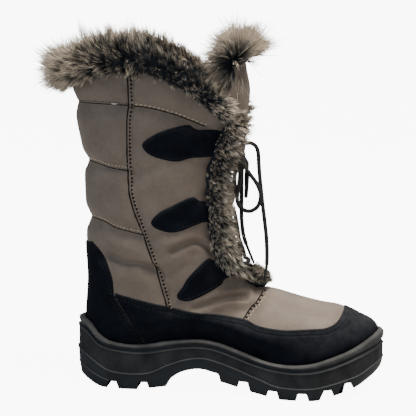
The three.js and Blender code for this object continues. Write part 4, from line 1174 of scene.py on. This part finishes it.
def makeTongue(build):
    v = evenRows(build["firstRow"], build["endRow"], build["step"], 0.2)
    turn = np.linspace(-build["halfTurn"], build["halfTurn"], build["columns"])
    points = lastPoints(v[:, None], turn[None, :])
    normals = gridNormals(points, False)
    y, z = points[..., 1], points[..., 2]
    padding = quilting["depth"] * smooth(0.9 * boot["instepHeight"], 1.4 * boot["instepHeight"], z)
    near = np.exp(-(((z - build["wrinkleAt"]) / build["wrinkleSpread"]) ** 2))
    wrinkle = build["wrinkle"] * np.sin(z / 6.5 + 0.12 * y) * near + 0.7 * ripple(y, z, 8, 0.4)
    inset = boot["wallThickness"] + boot["gap"] + padding + 0.3 - wrinkle * 0.6
    points = points - normals * inset[:, :, None]
    tongue = wrapGrid("tongueNylon", points)
    turnNormalsOut(tongue, (40, 0, 180))
    ups = (1.0, build["waist"], build["shoulder"], build["top"])
    low, waist, shoulder, high = (float(height(up)) for up in ups)
    half, end, corner = build["halfWidth"], build["halfWidth"] * build["ends"], high - build["corner"]
    loop = np.array([
        [-end, low], [end, low], [half, waist], [half, shoulder],
        [end, corner], [0, high], [-end, corner], [-half, shoulder], [-half, waist],
    ])
    scoreMesh(tongue, lambda p: insideOf(p[:, 1], p[:, 2], loop))
    tongue.data.materials.append(finishes["nylon"])
    applyModifier(tongue, "SOLIDIFY", thickness=build["thickness"] * mm, offset=-1)
    smoothShade(tongue)
    settle(tongue, "nylon", "tongue")


makeTongue(tongueBuild)
nodes["insole"].data.materials.clear()
nodes["insole"].data.materials.append(finishes["lining"])
print("tongue made")

# Sole

soleBuild = {
    "stations": 150, "lugDepth": 7.5, "grooveWidth": 10.5, "channelWidth": 8, "channelDepth": 0.7,
    "cutterFoot": 0.62, "cutterTop": 0.36, "below": 2, "across": 240,
    "channelEnds": (0.95, 0.5), "channelPlaces": (0.95, 0.84, 0.72, 0.6, 0.5),
    "archEnds": (0.309, 0.493),
}
soleFinishes = ["rubber", "ridge", "stipple", "rim"]
# heights between two named lines, rise and inset in rim widths, then the finish above that level
soleLevels = [
    ("lug", "ridge", 0, 0, 0.95, "rubber"),
    ("lug", "ridge", 0, 0.06, 0.74, "rubber"),
    ("lug", "ridge", 0, 0.2, 0.6, "rubber"),
    ("lug", "ridge", 0.5, 0, 0.28, "rubber"),
    ("ridge", "groove", 0, -0.3, 0.16, "rubber"),
    ("ridge", "groove", 0, -0.2, 0.14, "ridge"),
    ("ridge", "groove", 0, -0.1, -0.02, "ridge"),
    ("ridge", "groove", 0, 0.02, 0.02, "rubber"),
    ("ridge", "groove", 0, 0.1, 0.18, "stipple"),
    ("groove", "rim", 0, -0.42, 0.2, "stipple"),
    ("groove", "rim", 0, -0.36, 0.06, "ridge"),
    ("groove", "rim", 0, -0.24, 0.0, "rubber"),
    ("groove", "rim", 0, -0.1, 0.1, "rubber"),
    ("groove", "rim", 0, 0.04, 0.46, "rubber"),
    ("groove", "rim", 0, 0.48, 0.46, "rubber"),
    ("groove", "rim", 0, 0.6, 0.2, "rim"),
    ("groove", "rim", 0.6, 0.1, 0.03, "rim"),
    ("rim", "rim", 0, -0.3, 0.08, "rim"),
    ("rim", "rim", 0, -0.12, 0.2, "rim"),
    ("rim", "rim", 0, -0.02, 0.42, "rim"),
    ("rim", "rim", 0, 0, 0.7, "rim"),
    ("rim", "rim", 0, -0.06, 1.0, "rubber"),
    ("floor", "floor", 0, -0.2, 1.05, "rubber"),
]
lugGrooves = [(0.14, 0), (0.24, 0), (0.556, 4), (0.655, 2), (0.755, 0), (0.843, -4), (0.911, -9)]
archLine = [
    [0.313, 0.09], [0.322, 0.23], [0.358, 0.414], [0.399, 0.502], [0.432, 0.514], [0.462, 0.47],
    [0.484, 0.42], [0.491, 0.23],
]


def makeSoleShape(build):
    loops = []
    count = len(soleLevels)
    for i, (low, high, share, rise, inset, _) in enumerate(soleLevels):
        lean = i / count
        loop, at = soleLoop(build["stations"], lambda s: inset * boot["rimWidth"] + lean * leanAt(s))
        z = np.maximum(0, mix(sideHeight(low, at), sideHeight(high, at), share)) + rise * boot["rimWidth"]
        loops.append(np.column_stack([loop, z]))
    size = len(loops[0])
    faces, kinds = [], []
    for j in range(count - 1):
        for k in range(size):
            p, q = j * size + k, j * size + (k + 1) % size
            faces.append((p, q, q + size, p + size))
            kinds.append(soleFinishes.index(soleLevels[j][5]))
    for first, turned in ((0, True), ((count - 1) * size, False)):
        for k in range(size // 2):
            a, b = first + k, first + k + 1
            c, d = first + (size - k - 1) % size, first + (size - k) % size
            face = [p for n, p in enumerate([a, b, c, d]) if p not in [a, b, c, d][:n]]
            if len(face) > 2:
                faces.append(tuple(face[::-1] if turned else face))
                kinds.append(0)
    mesh = bpy.data.meshes.new("rubberSole")
    mesh.from_pydata((np.concatenate(loops) * mm).tolist(), [], faces)
    for key in soleFinishes:
        mesh.materials.append(finishes[key])
    mesh.polygons.foreach_set("material_index", kinds)
    return placeMesh("rubberSole", mesh)


def addLugCutter(at, turn, build):
    # a block, narrower at its top, across the sole
    base = max(0.0, float(sideHeight("lug", at)))
    startFresh()
    below = build["below"]
    deep = build["lugDepth"] + below
    bpy.ops.mesh.primitive_cube_add(size=1, location=(0, 0, 0))
    cutter = nameIt("lugCutter")
    points = readPoints(cutter) * mm
    wide = np.where(points[:, 2] < 0, build["cutterFoot"], build["cutterTop"]) * 2 * build["grooveWidth"]
    up = (points[:, 2] + 0.5) * deep - below + base
    points = np.stack([points[:, 0] * wide, points[:, 1] * build["across"], up], 1)
    c, s = math.cos(math.radians(turn)), math.sin(math.radians(turn))
    x, y = points[:, 0] * c - points[:, 1] * s, points[:, 0] * s + points[:, 1] * c
    writePoints(cutter, np.stack([x + float(along(at)), y, points[:, 2]], 1))
    return cutter


def addPrismCutter(line, halfWidth):
    # a side outline pulled out to both sides
    startFresh()
    bpy.ops.mesh.primitive_circle_add(vertices=len(line), radius=1, fill_type="NGON")
    cutter = nameIt("prismCutter")
    writePoints(cutter, [[x, -halfWidth, z] for x, z in line])
    pickOnly(cutter)
    bpy.ops.object.mode_set(mode="EDIT")
    bpy.ops.mesh.select_all(action="SELECT")
    bpy.ops.mesh.extrude_region_move(TRANSFORM_OT_translate={"value": (0, 2 * halfWidth * mm, 0)})
    bpy.ops.mesh.select_all(action="SELECT")
    bpy.ops.mesh.normals_make_consistent(inside=False)
    bpy.ops.object.mode_set(mode="OBJECT")
    return cutter


def cutAway(piece, cutter):
    applyModifier(piece, "BOOLEAN", object=cutter, operation="DIFFERENCE", solver="EXACT")
    bpy.data.objects.remove(cutter)


sole = makeSoleShape(soleBuild)
for at, turn in lugGrooves:
    cutAway(sole, addLugCutter(at, turn, soleBuild))
archCurve = rounded([[along(at), up * boot["soleHeight"]] for at, up in archLine])
archFoot = [[along(at), -5] for at in soleBuild["archEnds"]]
cutAway(sole, addPrismCutter(np.vstack([archFoot[:1], archCurve, archFoot[1:]]), soleBuild["across"] / 2))
channelDepth = soleBuild["channelDepth"] * soleBuild["lugDepth"]
channelTop = [[float(along(at)), max(0, float(sideHeight("lug", at))) + channelDepth]
              for at in soleBuild["channelPlaces"]]
channelFoot = [[float(along(at)), -8] for at in soleBuild["channelEnds"][::-1]]
cutAway(sole, addPrismCutter(channelTop + channelFoot, soleBuild["channelWidth"] / 2))
pickOnly(sole)
bpy.ops.object.shade_smooth_by_angle(angle=math.radians(35))
settle(sole, "sole_rubber", "outsole")
print("sole made")

# Laces

laceBuild = {
    "diameter": 3.8, "sides": 14, "step": 1.3, "pathStep": 5,
    "agletDiameter": 2.6, "agletGap": 0.3, "knot": (101, -1, 216), "knotDiameter": 3.5,
}
laceLines = {
    "lace_end_lateral": [
        [100.9, -3, 215.5], [100.8, -3.8, 219.6], [102.4, -4.9, 224.2], [106.6, -6, 227.3],
        [111.9, -6.8, 227.3], [116.1, -7.6, 224.2], [117.9, -8.4, 219], [118.5, -9, 211], [119.5, -10, 199],
        [121.2, -11, 184.5], [122.6, -12, 172.7], [123.9, -12.5, 162.6], [125.4, -13, 151],
        [126.6, -13.5, 139], [127.1, -14, 127], [127, -14.4, 117],
    ],
    "lace_loop_lateral": [
        [104, -5, 214.5], [104.8, -8.8, 209.6], [107.2, -13, 205.6], [111.8, -16, 199.8],
        [117.6, -17.8, 192.5], [121, -18.5, 185], [121.1, -18.5, 177.2], [117.8, -18, 170.3],
        [111, -17, 166.6], [104.1, -16, 168.6], [100.1, -15, 174.3], [99.6, -13, 181.9],
        [100.7, -10, 190.3], [101.2, -7.5, 198.6], [100.5, -4.6, 207], [100, -3, 213],
    ],
    "lace_loop_medial": [
        [104.2, 3, 212], [104.8, 6.5, 209.8], [105.3, 12, 207], [104.8, 18, 203], [103.8, 23.6, 197.8],
        [103.1, 27.3, 190.9], [103, 28.8, 183.4], [103.1, 27.2, 178.2], [103.4, 22.8, 174.9],
        [104, 17.3, 174.9], [104.7, 13, 178.2], [105.3, 11.4, 183.4], [105.8, 10.8, 190.7], [106, 9, 197.8],
        [105.6, 5.9, 204.2], [104.8, 2.6, 210.5],
    ],
    "lace_end_medial": [
        [101.5, 0, 212], [102, 1.5, 205], [101.8, 2.5, 195], [101.6, 3.5, 183], [101.4, 4, 172],
        [101.4, 4, 160], [102, 4, 150], [103.5, 4, 140], [106, 4, 132],
    ],
}
agletEnds = {
    "aglet_lateral": [[127, -14.4, 117], [124.7, -15, 97]],
    "aglet_medial": [[106, 4, 132], [113.2, 4, 114.5]],
}


def addTube(name, line, diameter, finish, sidesCount=laceBuild["sides"], taper=None):
    # a tube along a line, with u round it and v along it in millimetres
    line = np.asarray(line, float)
    rows = len(line)
    tangent = unit(np.gradient(line, axis=0))
    side = np.cross(tangent[0], [0.3, 1, 0.2])
    rings = []
    for i in range(rows):
        side = side - tangent[i] * side.dot(tangent[i])
        side /= np.linalg.norm(side)
        other = np.cross(tangent[i], side)
        angle = np.linspace(0, 2 * math.pi, sidesCount + 1)
        radius = diameter / 2 * (taper[i] if taper is not None else 1)
        rings.append(line[i] + radius * (np.cos(angle)[:, None] * side + np.sin(angle)[:, None] * other))
    columns = sidesCount + 1
    piece = addGrid(name, rows, columns, np.concatenate(rings))
    length = lengthAlong(line)
    mapped = [((loop.vertex_index % columns) / sidesCount, length[loop.vertex_index // columns])
              for loop in piece.data.loops]
    piece.data.uv_layers.active.data.foreach_set("uv", np.array(mapped).ravel())
    closeUp(piece, 1e-6, True)
    bpy.ops.object.shade_smooth_by_angle(angle=math.radians(60))
    piece.data.materials.append(finishes[finish])
    return piece


def joinPieces(pieces, name):
    startFresh()
    for piece in pieces:
        piece.select_set(True)
    bpy.context.view_layer.objects.active = pieces[0]
    bpy.ops.object.join()
    return nameIt(name)


# where two panels meet the cloth turns in, and a dark tube at the bottom of the groove is painted shade: the
# dark line of the groove's shadow
creaseShadeBuild = {"diameter": 1.5, "sunk": 0.3, "beside": 0.3, "step": 2.2, "sides": 8}


def makeCreaseShade(build):
    runs = []
    for name in ("top", "second", "third"):
        runs += seamSpots(seamLines[name][1], 0, build["step"])
    for sign in sides.values():
        for line in (offsetLine(upright, -strip["width"] / 2 - build["beside"]), vamp):
            found = sideSpots(resampled(line, build["step"]), sign, upperTree)
            runs.append([np.array([spot[k] for spot in found]) for k in (0, 1)])
    pieces = [addTube(f"crease{k}", place - out * build["sunk"], build["diameter"], "crease", build["sides"])
              for k, (place, out) in enumerate(runs)]
    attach(joinPieces(pieces, "seamCreaseShade"), "root")


makeCreaseShade(creaseShadeBuild)

# a second raised line low on the heel: share of the length, then drop under the ridge
heelLine = {"diameter": 1.1, "step": 1.5, "sides": 8, "drops": [
    [0.012, 13.6], [0.045, 13.3], [0.086, 12.2], [0.13, 10.2],
]}


def makeHeelLines(build):
    at, drop = np.array(build["drops"]).T
    line = rounded(np.stack([along(at), sideHeight("ridge", at) - drop], 1))
    tree = treeOfPiece(sole)
    pieces = []
    for name, sign in sides.items():
        spots = np.array([spot for spot, _ in sideSpots(resampled(line, build["step"]), sign, tree)])
        pieces.append(addTube("heelLine_" + name, spots, build["diameter"], "ridge", build["sides"]))
    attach(joinPieces(pieces, "heelLines"), "root")


makeHeelLines(heelLine)


# distance along the tip and its share of the tip's width there
agletProfile = [
    [0, 0.8], [0.15, 1.1], [0.5, 1.25], [1, 1.25], [2, 1.05], [6, 1], [12, 0.97], [17, 0.93],
    [18.4, 0.85], [18.9, 0.6], [19, 0.3],
]


def addAglet(name):
    start, end = (np.array(p, float) for p in agletEnds[name])
    way = (end - start) / np.linalg.norm(end - start)
    at, taper = np.array(agletProfile).T
    line = start + way * (at[:, None] + laceBuild["agletGap"])
    piece = addTube(name.replace("_", ""), line, laceBuild["agletDiameter"], "aglet", 12, taper)
    settle(piece, "aglet_plastic", name)
    return piece


knotCentre = np.array(laceBuild["knot"], float)
turns = np.linspace(0, 2 * math.pi, 70)
knotLine = knotCentre + np.stack([
    (np.sin(turns) + 1.6 * np.sin(2 * turns)) * 1.15,
    (np.cos(turns) - 1.6 * np.cos(2 * turns)) * 1.6,
    -np.sin(3 * turns) * 2.6,
], 1)
knot = addTube("laceKnot", knotLine[:-1], laceBuild["knotDiameter"], "lace")
settle(knot, "lace_cord", "lace_knot")


def addCord(name):
    curve = rounded(laceLines[name], each=8)
    path = resampled(curve, laceBuild["step"])
    cord = addTube(name.replace("_", ""), path, laceBuild["diameter"], "lace")
    settle(cord, "lace_cord", name)


agletLateral, agletMedial = (addAglet(name) for name in agletEnds)
addCord("lace_end_lateral")
addCord("lace_end_medial")
addCord("lace_loop_lateral")
addCord("lace_loop_medial")

crossingBuild = {
    "heights": (1.1, 1.368, 1.69), "knotUp": 1.615, "share": 0.86, "knotHalf": 2.4, "lift": 4.9,
    "places": 14, "step": 1.6,
}
pastToes = 400  # a distance ahead that is past everything


def frontRay(y, z):
    return rayTo(lastTree, (pastToes, y, z), (-1, 0, 0))


def makeCrossings(build):
    # each run goes from one place to another, given across the boot and up it
    low, middle, top = [(float(throatHalf(height(up))) * build["share"], up) for up in build["heights"]]
    knotEnd = (build["knotHalf"], build["knotUp"])
    runs = [(-1, low, 1, low)]
    for lower, upper in ((low, middle), (middle, top)):
        runs += [(-1, lower, 1, upper), (1, lower, -1, upper)]
    runs += [(-1, top, -1, knotEnd), (1, top, 1, knotEnd)]
    pieces = []
    for number, (fromSide, (y0, up0), toSide, (y1, up1)) in enumerate(runs):
        line = []
        for s in np.linspace(0, 1, build["places"]):
            spot, out = frontRay(float(mix(fromSide * y0, toSide * y1, s)), float(height(mix(up0, up1, s))))
            line.append(spot + out * build["lift"])
        path = resampled(rounded(line[::2], each=6), build["step"])
        pieces.append(addTube(f"laceRun{number}", path, laceBuild["diameter"], "lace"))
    settle(joinPieces(pieces, "laceCrossings"), "lace_cord", "lace_crossings")


makeCrossings(crossingBuild)
print("laces made")

# Fur: a dark roll under ribbon hairs drawn into locks
# A fringe is a row of stops. Each has its middle, the way out, the way up and how far its hairs reach

furSizes = {
    "width": 0.42, "links": 4, "core": 0.4, "lock": 17, "lowest": 20, "batch": 4000,
    "strayShare": 0.12, "strayLonger": 1.25, "hangingShorter": 0.58, "wave": 0.1, "narrowing": 0.55,
    "endShorter": 0.25, "endFrom": 0.96, "fanFrom": 0.9, "fan": 0.9, "along": 0.3,
    "jitter": 0.35, "twist": 1.6, "curl": 3.4, "drawn": 1.3, "corePart": (0.75, 1),
    "lengthPart": (0.6, 1.1), "lockPull": (0.25, 0.9), "pullPart": (0.6, 1), "widthPart": (0.35, 0.65),
    "collarPile": 35, "collarStops": 41, "collarCorner": 0.72,
    "placketPile": 22, "placketStops": 27, "placketEnds": (1.82, 1.09),
    "baseStops": 9, "baseHalf": 15.4, "tongueStops": 13, "tongueHalf": 26.6,
}


def frontStop(y, z):
    spot, out = frontRay(y, z)
    up = np.array([0, 0, 1]) - out * out[2]
    return spot, out, up / np.linalg.norm(up)


def collarStops():
    # along the collar's edge, from one corner of the throat round the back to the other
    stops = []
    corner = furSizes["collarCorner"]
    rows = np.linspace(0, 14, 900)
    for turn in np.linspace(-corner, corner - 2 * math.pi, furSizes["collarStops"]):
        line = lastPoints(rows, turn)
        v = rows[np.argmax(line[:, 2] < collarHeight(line[:, 0]))]
        place, lower, beside = (lastPoints(np.float64(v + a), np.float64(turn + b))
                                for a, b in ((0, 0), (0.02, 0), (0, 0.02)))
        down = lower - place
        out = -np.cross(beside - place, down)
        out /= np.linalg.norm(out)
        up = -down / np.linalg.norm(down)
        back = (1 - math.cos(turn)) / 2
        deep = furSizes["collarPile"] * mix(0.62, 1, smooth(0.2, 0.6, back))
        heel = smooth(0.75, 1, back)
        centre = place + up * deep * mix(0.24, 0.02, heel) + out * deep * mix(0.02, 0.12, heel)
        stops.append((centre, out, up, deep * 0.5 + furSizes["lock"] * mix(0.65, 0.5, back)))
    return stops


def placketStops(sign):
    stops, pile = [], furSizes["placketPile"]
    for up in np.linspace(*furSizes["placketEnds"], furSizes["placketStops"]):
        z = float(height(up))
        place, out, rise = frontStop(sign * (float(throatHalf(z)) + pile * 0.2), z)
        across = np.cross(rise, out)
        stops.append((place + out * pile * 0.12, out, across / np.linalg.norm(across), pile * 0.5 + 9))
    return stops


def baseStops():
    stops, pile, half = [], furSizes["placketPile"], furSizes["baseHalf"]
    for y in np.linspace(-half, half, furSizes["baseStops"]):
        place, out, up = frontStop(y, float(height(1.01 + 0.04 * (y / half) ** 2)))
        stops.append((place + out * pile * 0.08, out, up, pile * 0.33 + 5))
    return stops


def tongueStops():
    stops, pile, half = [], furSizes["collarPile"], furSizes["tongueHalf"]
    for y in np.linspace(-half, half, furSizes["tongueStops"]):
        place, out, up = frontStop(y, float(height(2.04 - 0.03 * (y / half) ** 2)))
        stops.append((place + up * pile * 0.2 - out * 10.5, out, up, pile * 0.5 + 12))
    return stops


def addFur(name, node, stops, build):
    # one flat strand a hair, each drawn toward the nearest leader of its lock
    chance = np.random.default_rng(build["seed"])
    f = furSizes

    def between(key, many):
        return mix(*f[key], chance.random(many))

    def around(shape, width=1.0):
        return (chance.random(shape) - 0.5) * width

    place, out, up, reach = (np.array([stop[k] for stop in stops]) for k in range(4))
    last = len(stops) - 1
    count = build["hairs"]
    u = chance.random(count) * last
    i = np.clip(u.astype(int), 0, last - 1)
    t = (u - i)[:, None]
    middle, outward, upward = (mix(a[i], a[i + 1], t) for a in (place, out, up))
    fromMiddle = 2 * u / last - 1
    size = mix(reach[i], reach[i + 1], t[:, 0]) * (1 - f["endShorter"] * (np.abs(fromMiddle) > f["endFrom"]))
    forward = unit(place[i + 1] - place[i])
    flow = build["flow"]
    combX, combZ, low, high, long, bias = (np.interp(u / last, flow["at"], flow[key])
                                           for key in ("x", "z", "low", "high", "long", "pale"))
    turn = mix(low, high, chance.random(count))
    # hairs at the lower side hang: they are shorter and don't stand up
    hanging = 1 - smooth(-1.0, 0.2, turn)
    combZ = mix(combZ, np.minimum(combZ, 0.0), hanging)
    turn = turn[:, None]
    radial = outward * np.cos(turn) + upward * np.sin(turn)
    ends = fromMiddle * (np.abs(fromMiddle) > f["fanFrom"])
    core = build.get("core", f["core"]) * between("corePart", count)
    roots = middle + radial * (size * core)[:, None]
    leaders = chance.choice(count, build["locks"], replace=False)
    comb = np.stack([combX, np.zeros(count), combZ], 1)
    way = radial + comb + forward * (around(count, f["along"]) + ends * f["fan"])[:, None]
    lockTurn = around((build["locks"], 3), build["scatter"])
    nearest = np.empty(count, int)
    for first in range(0, count, f["batch"]):
        part = slice(first, first + f["batch"])
        nearest[part] = ((roots[part][:, None] - roots[leaders][None]) ** 2).sum(2).argmin(1)
    way = unit(way + lockTurn[nearest] + around((count, 3), f["jitter"]))
    lockLength = 0.7 + 0.5 * chance.random(build["locks"]) ** 1.8
    lockPull = between("lockPull", build["locks"])
    length = size * (1 - core) * long * lockLength[nearest] * between("lengthPart", count)
    stray = chance.random(count) < f["strayShare"]
    length = np.where(stray, length * f["strayLonger"], length) * (1 - f["hangingShorter"] * hanging)
    pull = np.where(stray, 0.0, lockPull[nearest]) * between("pullPart", count)
    steps = np.linspace(0, 1, f["links"] + 1)
    droop = np.array([0, 0, -build["droop"]])
    wave = unit(np.cross(way, around((count, 3)))) * (length * f["wave"])[:, None]
    phase = chance.random(count) * 2 * math.pi
    lines = []
    for s in steps:
        line = roots + way * (length * s)[:, None] + droop * (length * s * s)[:, None]
        lines.append(line + wave * np.sin(phase + f["curl"] * s)[:, None] * s)
    lines = np.array(lines)
    heads = lines[:, leaders][:, nearest]
    lines = mix(lines, heads, (pull * steps[:, None] ** f["drawn"])[:, :, None])
    lines[..., 2] = np.maximum(lines[..., 2], f["lowest"])
    flat = unit(np.cross(way, radial + around((count, 3), f["twist"])))
    half = f["width"] * between("widthPart", count)
    hairs = writeHairs(name, lines, steps, flat, half, chance.random(count) + bias)
    roll = addRoll(name + "Roll", place, out, up, reach, build)
    settle(hairs, "pile_fur")
    settle(roll, "pile_fur", node)


def writeHairs(name, lines, steps, flat, half, pale):
    # flat strands that narrow to a point, with the number of the strand and the place along it as their map
    links, count = len(steps) - 1, len(half)
    points, mapped = [], []
    for k in range(links):
        narrow = (half * (1 - furSizes["narrowing"] * steps[k]))[:, None] * flat
        points += [lines[k] - narrow, lines[k] + narrow]
        mapped += [np.stack([pale, np.full(count, steps[k])], 1)] * 2
    points.append(lines[links])
    mapped.append(np.stack([pale, np.ones(count)], 1))
    number = np.arange(count)
    quads = [np.stack([number + a * count for a in (2 * k, 2 * k + 1, 2 * k + 3, 2 * k + 2)], 1)
             for k in range(links - 1)]
    ends = np.stack([number + a * count for a in (2 * links - 2, 2 * links - 1, 2 * links)], 1)
    corners = np.concatenate([np.concatenate(quads).ravel(), ends.ravel()])
    starts = np.concatenate([np.arange(len(quads) * count) * 4, len(quads) * count * 4 + number * 3])
    points, mapped = np.concatenate(points), np.concatenate(mapped)
    mesh = bpy.data.meshes.new(name)
    mesh.vertices.add(len(points))
    mesh.vertices.foreach_set("co", (points * mm).ravel())
    mesh.loops.add(len(corners))
    mesh.loops.foreach_set("vertex_index", corners)
    mesh.polygons.add(len(starts))
    mesh.polygons.foreach_set("loop_start", starts)
    mesh.update(calc_edges=True)
    mesh.uv_layers.new(name="hair").data.foreach_set("uv", mapped[corners].ravel())
    mesh.materials.append(finishes["fur"])
    mesh.shade_smooth()
    return placeMesh(name, mesh)


def addRoll(name, place, out, up, reach, build):
    rows, columns = 3 * len(place), 20
    at = np.linspace(0, len(place) - 1, rows)
    number = np.arange(len(place))
    middle, outward, upward = (readAt(at, number, values) for values in (place, out, up))
    size = np.interp(at, number, reach) * build.get("core", furSizes["core"])
    turn = np.linspace(0, 2 * math.pi, columns + 1)
    ends = np.sqrt(np.clip(1 - (2 * np.arange(rows) / (rows - 1) - 1) ** 8, 0.0, 1))
    lumps = 1 + 0.12 * np.sin(3 * turn[None] + 0.9 * at[:, None]) * np.sin(2.3 * at[:, None])
    spread = (size * ends)[:, None] * lumps
    spread[:, -1] = spread[:, 0]
    points = (middle[:, None] + outward[:, None] * (spread * np.cos(turn))[:, :, None]
              + upward[:, None] * (spread * np.sin(turn))[:, :, None])
    roll = wrapGrid(name, points)
    roll.data.uv_layers.active.data.foreach_set("uv", np.tile([0.5, 0.12], len(roll.data.loops)))
    roll.data.materials.append(finishes["fur"])
    smoothShade(roll)
    return roll


# at: place along the fringe; x, z: comb; low, high: range of turns; long: length; pale: how light
furColumns = "at x z low high long pale"
fursAt = {
    "furCollar": ("fur_collar", collarStops(), {
        "hairs": 27000, "locks": 900, "scatter": 0.7, "droop": 0.12, "seed": 3,
        "flow": table(furColumns, [
            [0, 0.6, 0.2, -1.3, 2.6, 0.95, 0], [0.06, 0.4, 0.2, -1.3, 2.7, 0.9, -0.35],
            [0.13, 0.1, 0.35, -1.3, 2.7, 0.95, -0.55], [0.2, -0.2, 0.6, -1.3, 2.9, 1.25, -0.4],
            [0.3, -0.35, 0.6, -1.3, 3, 1.5, 0.05], [0.42, -0.45, 0.45, -1.3, 3.1, 1.5, 0.6],
            [0.5, -0.3, 0.2, -1.4, 3.1, 1.35, 0.8],
            [0.58, -0.35, 0.4, -1.4, 3.1, 1.5, 0.6], [0.7, -0.35, 0.75, -1.3, 3, 1.52, 0.5],
            [0.8, -0.2, 0.6, -0.6, 2.9, 1.2, 0.1], [0.87, 0.1, 0.35, -0.6, 2.7, 0.9, 0],
            [0.94, 0.5, 0.2, -0.7, 2.7, 0.9, 0], [1, 0.8, 0.1, -0.7, 2.6, 1, 0.3]])}),
    "furTongue": ("fur_tongue", tongueStops(), {
        "hairs": 15000, "locks": 500, "scatter": 0.8, "droop": 0.1, "seed": 5, "core": 0.2,
        "flow": table(furColumns, [[0, 0.15, 0, -0.1, 5, 1.15, -0.1], [0.2, 0.1, 0.1, 0.3, 4.6, 1.25, 0.35],
                                   [1, 0.15, 0.1, 0.1, 4.2, 1.3, 0.6]])}),
    "furPlacketLateral": ("fur_placket_lateral", placketStops(-1), {
        "hairs": 17000, "locks": 700, "scatter": 0.9, "droop": 0.15, "seed": 7,
        "flow": table(furColumns, [
            [0, 0.6, 0.2, -1.5, 1.9, 1.05, 0.1], [0.15, 0.6, 0.1, -1.5, 1.9, 0.95, -0.1],
            [0.3, 0.6, 0, -1.5, 1.9, 0.95, -0.35], [0.6, 0.6, -0.4, -1.5, 1.9, 0.95, -0.25],
            [0.8, 0.6, -0.6, -1.5, 1.9, 1.1, -0.35], [1, 0.8, -0.9, -1.5, 1.9, 1.4, -0.45]])}),
    "furPlacketMedial": ("fur_placket_medial", placketStops(1), {
        "hairs": 13000, "locks": 500, "scatter": 0.9, "droop": 0.15, "seed": 11,
        "flow": table(furColumns, [
            [0, 0.8, 0.2, 1.2, 4.6, 1.3, 0.2], [0.3, 0.5, 0, 1.2, 4.6, 1.1, 0],
            [1, 0.5, -0.6, 1.2, 4.6, 1.2, 0]])}),
    "furThroatBase": ("fur_throat_base", baseStops(), {
        "hairs": 8000, "locks": 260, "scatter": 0.8, "droop": 0.15, "seed": 13,
        "flow": table(furColumns, [[0, 0.3, -0.2, -0.9, 2.8, 1.25, -0.45],
                                   [1, 0.1, -0.2, -0.9, 2.8, 1.2, -0.2]])}),
}
for name, (node, stops, build) in fursAt.items():
    addFur(name, node, stops, build)
print("fur made")

# Floor, light and finish

stageSetup = {"floor": 40, "glow": 9, "world": 0.32, "sky": (0.9, 0.95, 1, 1), "middle": (0.08, 0, 0.16)}
# place, size, power and colour of each lamp
lamps = {
    "keyLamp": ((0.55, -0.25, 1.65), 0.8, 46, (1, 0.925, 0.79)),
    "fillLamp": ((-0.9, -1.2, 0.6), 1.2, 6, (0.76, 0.88, 1)),
    "rimLamp": ((0.2, 1.2, 1.1), 1.0, 5, (1, 0.97, 0.92)),
}


def addFloor(setup):
    startFresh()
    bpy.ops.mesh.primitive_plane_add(size=setup["floor"], location=(0, 0, 0))
    floor = nameIt("paleFloor")
    finish, tree, shader = newFinish("paleFloor")
    setShader(shader, Base_Color=(0.5, 0.5, 0.5, 1), Roughness=0.9, Specular_IOR_Level=0.1,
              Emission_Color=(1, 1, 1, 1))
    seen = addNode(tree, "ShaderNodeLightPath").outputs["Is Camera Ray"]
    tree.links.new(calc(tree, "MULTIPLY", seen, setup["glow"]), shader.inputs["Emission Strength"])
    floor.data.materials.append(finish)
    world = bpy.context.scene.world or bpy.data.worlds.new("world")
    bpy.context.scene.world = world
    world.use_nodes = True
    backdrop = world.node_tree.nodes["Background"]
    backdrop.inputs[0].default_value = setup["sky"]
    backdrop.inputs[1].default_value = setup["world"]


def addLamp(name, place, target, size, power, color):
    startFresh()
    bpy.ops.object.light_add(type="AREA", location=place)
    lamp = bpy.context.object
    lamp.name = name
    lamp.data.size = size
    lamp.data.energy = power
    lamp.data.color = color
    lamp.rotation_euler = (Vector(target) - Vector(place)).to_track_quat("-Z", "Y").to_euler()


addFloor(stageSetup)
for name, (place, size, power, color) in lamps.items():
    addLamp(name, place, stageSetup["middle"], size, power, color)
print("stage made")
